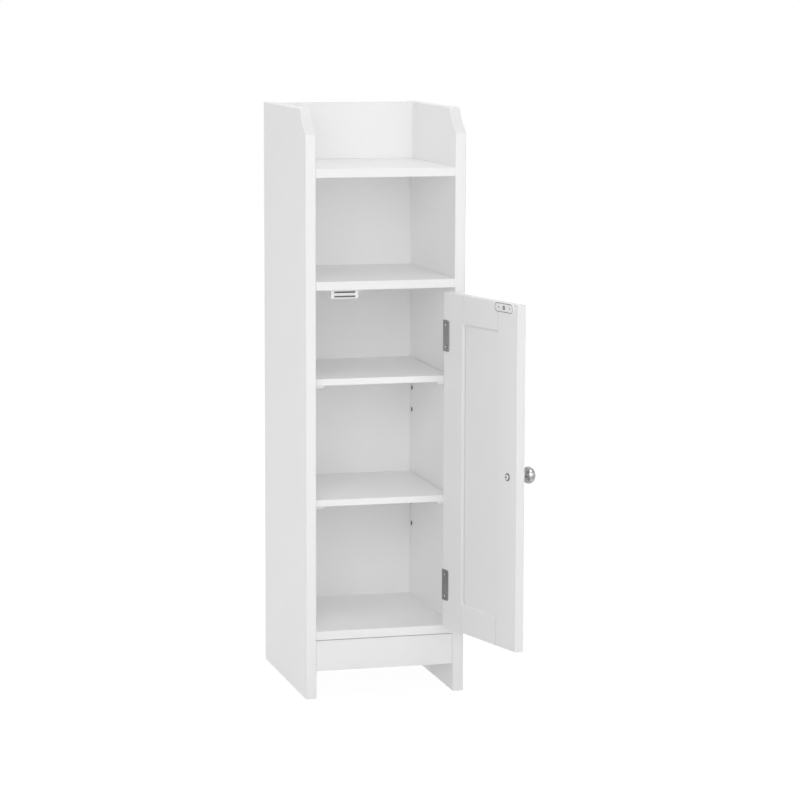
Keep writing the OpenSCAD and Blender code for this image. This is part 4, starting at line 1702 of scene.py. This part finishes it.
@dataclass
class Studio:
    """The pale floor, the bright surroundings and the soft boxes."""

    floor_size: float = 16000.0
    floor_colour: float = 0.8
    floor_glow: float = 0.9
    floor_white: float = 1.05
    floor_middle: Triple = (112.0, 100.0, 0.0)
    shadow_reach: Pair = (250.0, 900.0)
    glows: tuple[Glow, Glow] = (Glow(BACK, 1.42), Glow(UP, 0.57))
    boxes: tuple[SoftBox, ...] = (
        SoftBox("right_front_box", (1000.0, -3100.0, 1300.0), 14.6),
        SoftBox("left_front_box", (-900.0, -3200.0, 1300.0), 19.4),
        SoftBox("left_box", (-1900.0, -2600.0, 1300.0), 14.6),
        SoftBox("top_box", (200.0, -1500.0, 3000.0), 12.0),
    )

    def build(self) -> None:
        """Makes the floor, the world and the lamps."""
        self.floor()
        self.surroundings()
        for box in self.boxes:
            box.build()

    def shown(self, nodes: Nodes) -> Socket:
        """Adds the mask of the rays that see the background.

        Args:
            nodes: The nodes of the floor or the world.

        Returns:
            1 for rays from the camera and for those through gloss and glass, else 0.
        """
        path = nodes.add("LightPath").outputs
        mirrored = nodes.maths("MAXIMUM", path["Is Camera Ray"], path["Is Glossy Ray"])
        return nodes.maths("MAXIMUM", mirrored, path["Is Transmission Ray"])

    def floor_material(self) -> bpy.types.Material:
        """Makes the floor's material.

        Returns:
            Matt paint that glows to white for the camera and keeps a soft shadow.
        """
        made = bpy.data.materials.new("pale_floor")
        nodes = emptied(made)
        middle = {0: nodes.object_point(), 1: tuple(mm(*self.floor_middle))}
        away = nodes.add("VectorMath", middle, operation="DISTANCE")
        glow_share = nodes.ranged(
            away.outputs["Value"],
            target=(self.floor_glow, 1.0),
            source=tuple(reach * MM for reach in self.shadow_reach),
            interpolation_type="SMOOTHSTEP",
        )
        share = nodes.maths("MULTIPLY", self.shown(nodes), glow_share)
        matt = nodes.add("BsdfDiffuse", {"Color": (*(self.floor_colour,) * 3, 1.0)})
        glow = nodes.add("Emission", {"Color": WHITE, "Strength": self.floor_white})
        mixed = nodes.add("MixShader", {0: share, 1: matt.outputs[0], 2: glow.outputs[0]})
        nodes.add("OutputMaterial", {"Surface": mixed.outputs[0]})
        return made

    def floor(self) -> None:
        """Makes the floor."""
        bm = bmesh.new()
        bmesh.ops.create_grid(bm, x_segments=1, y_segments=1, size=self.floor_size * MM / 2)
        mesh = bpy.data.meshes.new("studio_floor")
        bm.to_mesh(mesh)
        bm.free()
        mesh.materials.append(self.floor_material())
        put_in_scene("studio_floor", mesh)

    def surroundings(self) -> None:
        """Makes the world: white where it is seen, soft ambient light for the object."""
        world = bpy.data.worlds.new("studio")
        bpy.context.scene.world = world
        nodes = emptied(world)
        direction = nodes.add("TexCoord").outputs["Generated"]
        ambient = nodes.maths("ADD", *(glow.level(nodes, direction) for glow in self.glows))
        soft = nodes.add("Background", {"Color": WHITE, "Strength": ambient})
        white = nodes.add("Background", {"Color": WHITE, "Strength": 1.0})
        shares = {0: self.shown(nodes), 1: soft.outputs[0], 2: white.outputs[0]}
        mixed = nodes.add("MixShader", shares)
        nodes.add("OutputWorld", {"Surface": mixed.outputs[0]})


def main() -> None:
    """Builds the cabinet and the studio, and reports each piece."""
    logging.basicConfig(level=logging.INFO, format="%(name)s: %(message)s")
    StudioCamera().build()
    finishes, swing = Finishes(), DoorSwing().matrix()
    for kind in (Carcass, Joinery, MagneticCatch, Door, StrikePlate, Knob, Hinges):
        for piece in kind(finishes, swing).build():
            LOG.info("%s: %s, %d faces", kind.__name__, piece.name, len(piece.data.polygons))
    Studio().build()
    bpy.context.scene.view_settings.view_transform = "Standard"
    bpy.context.scene.cycles.diffuse_bounces = LIGHT_BOUNCES


if __name__ == "__main__":
    main()
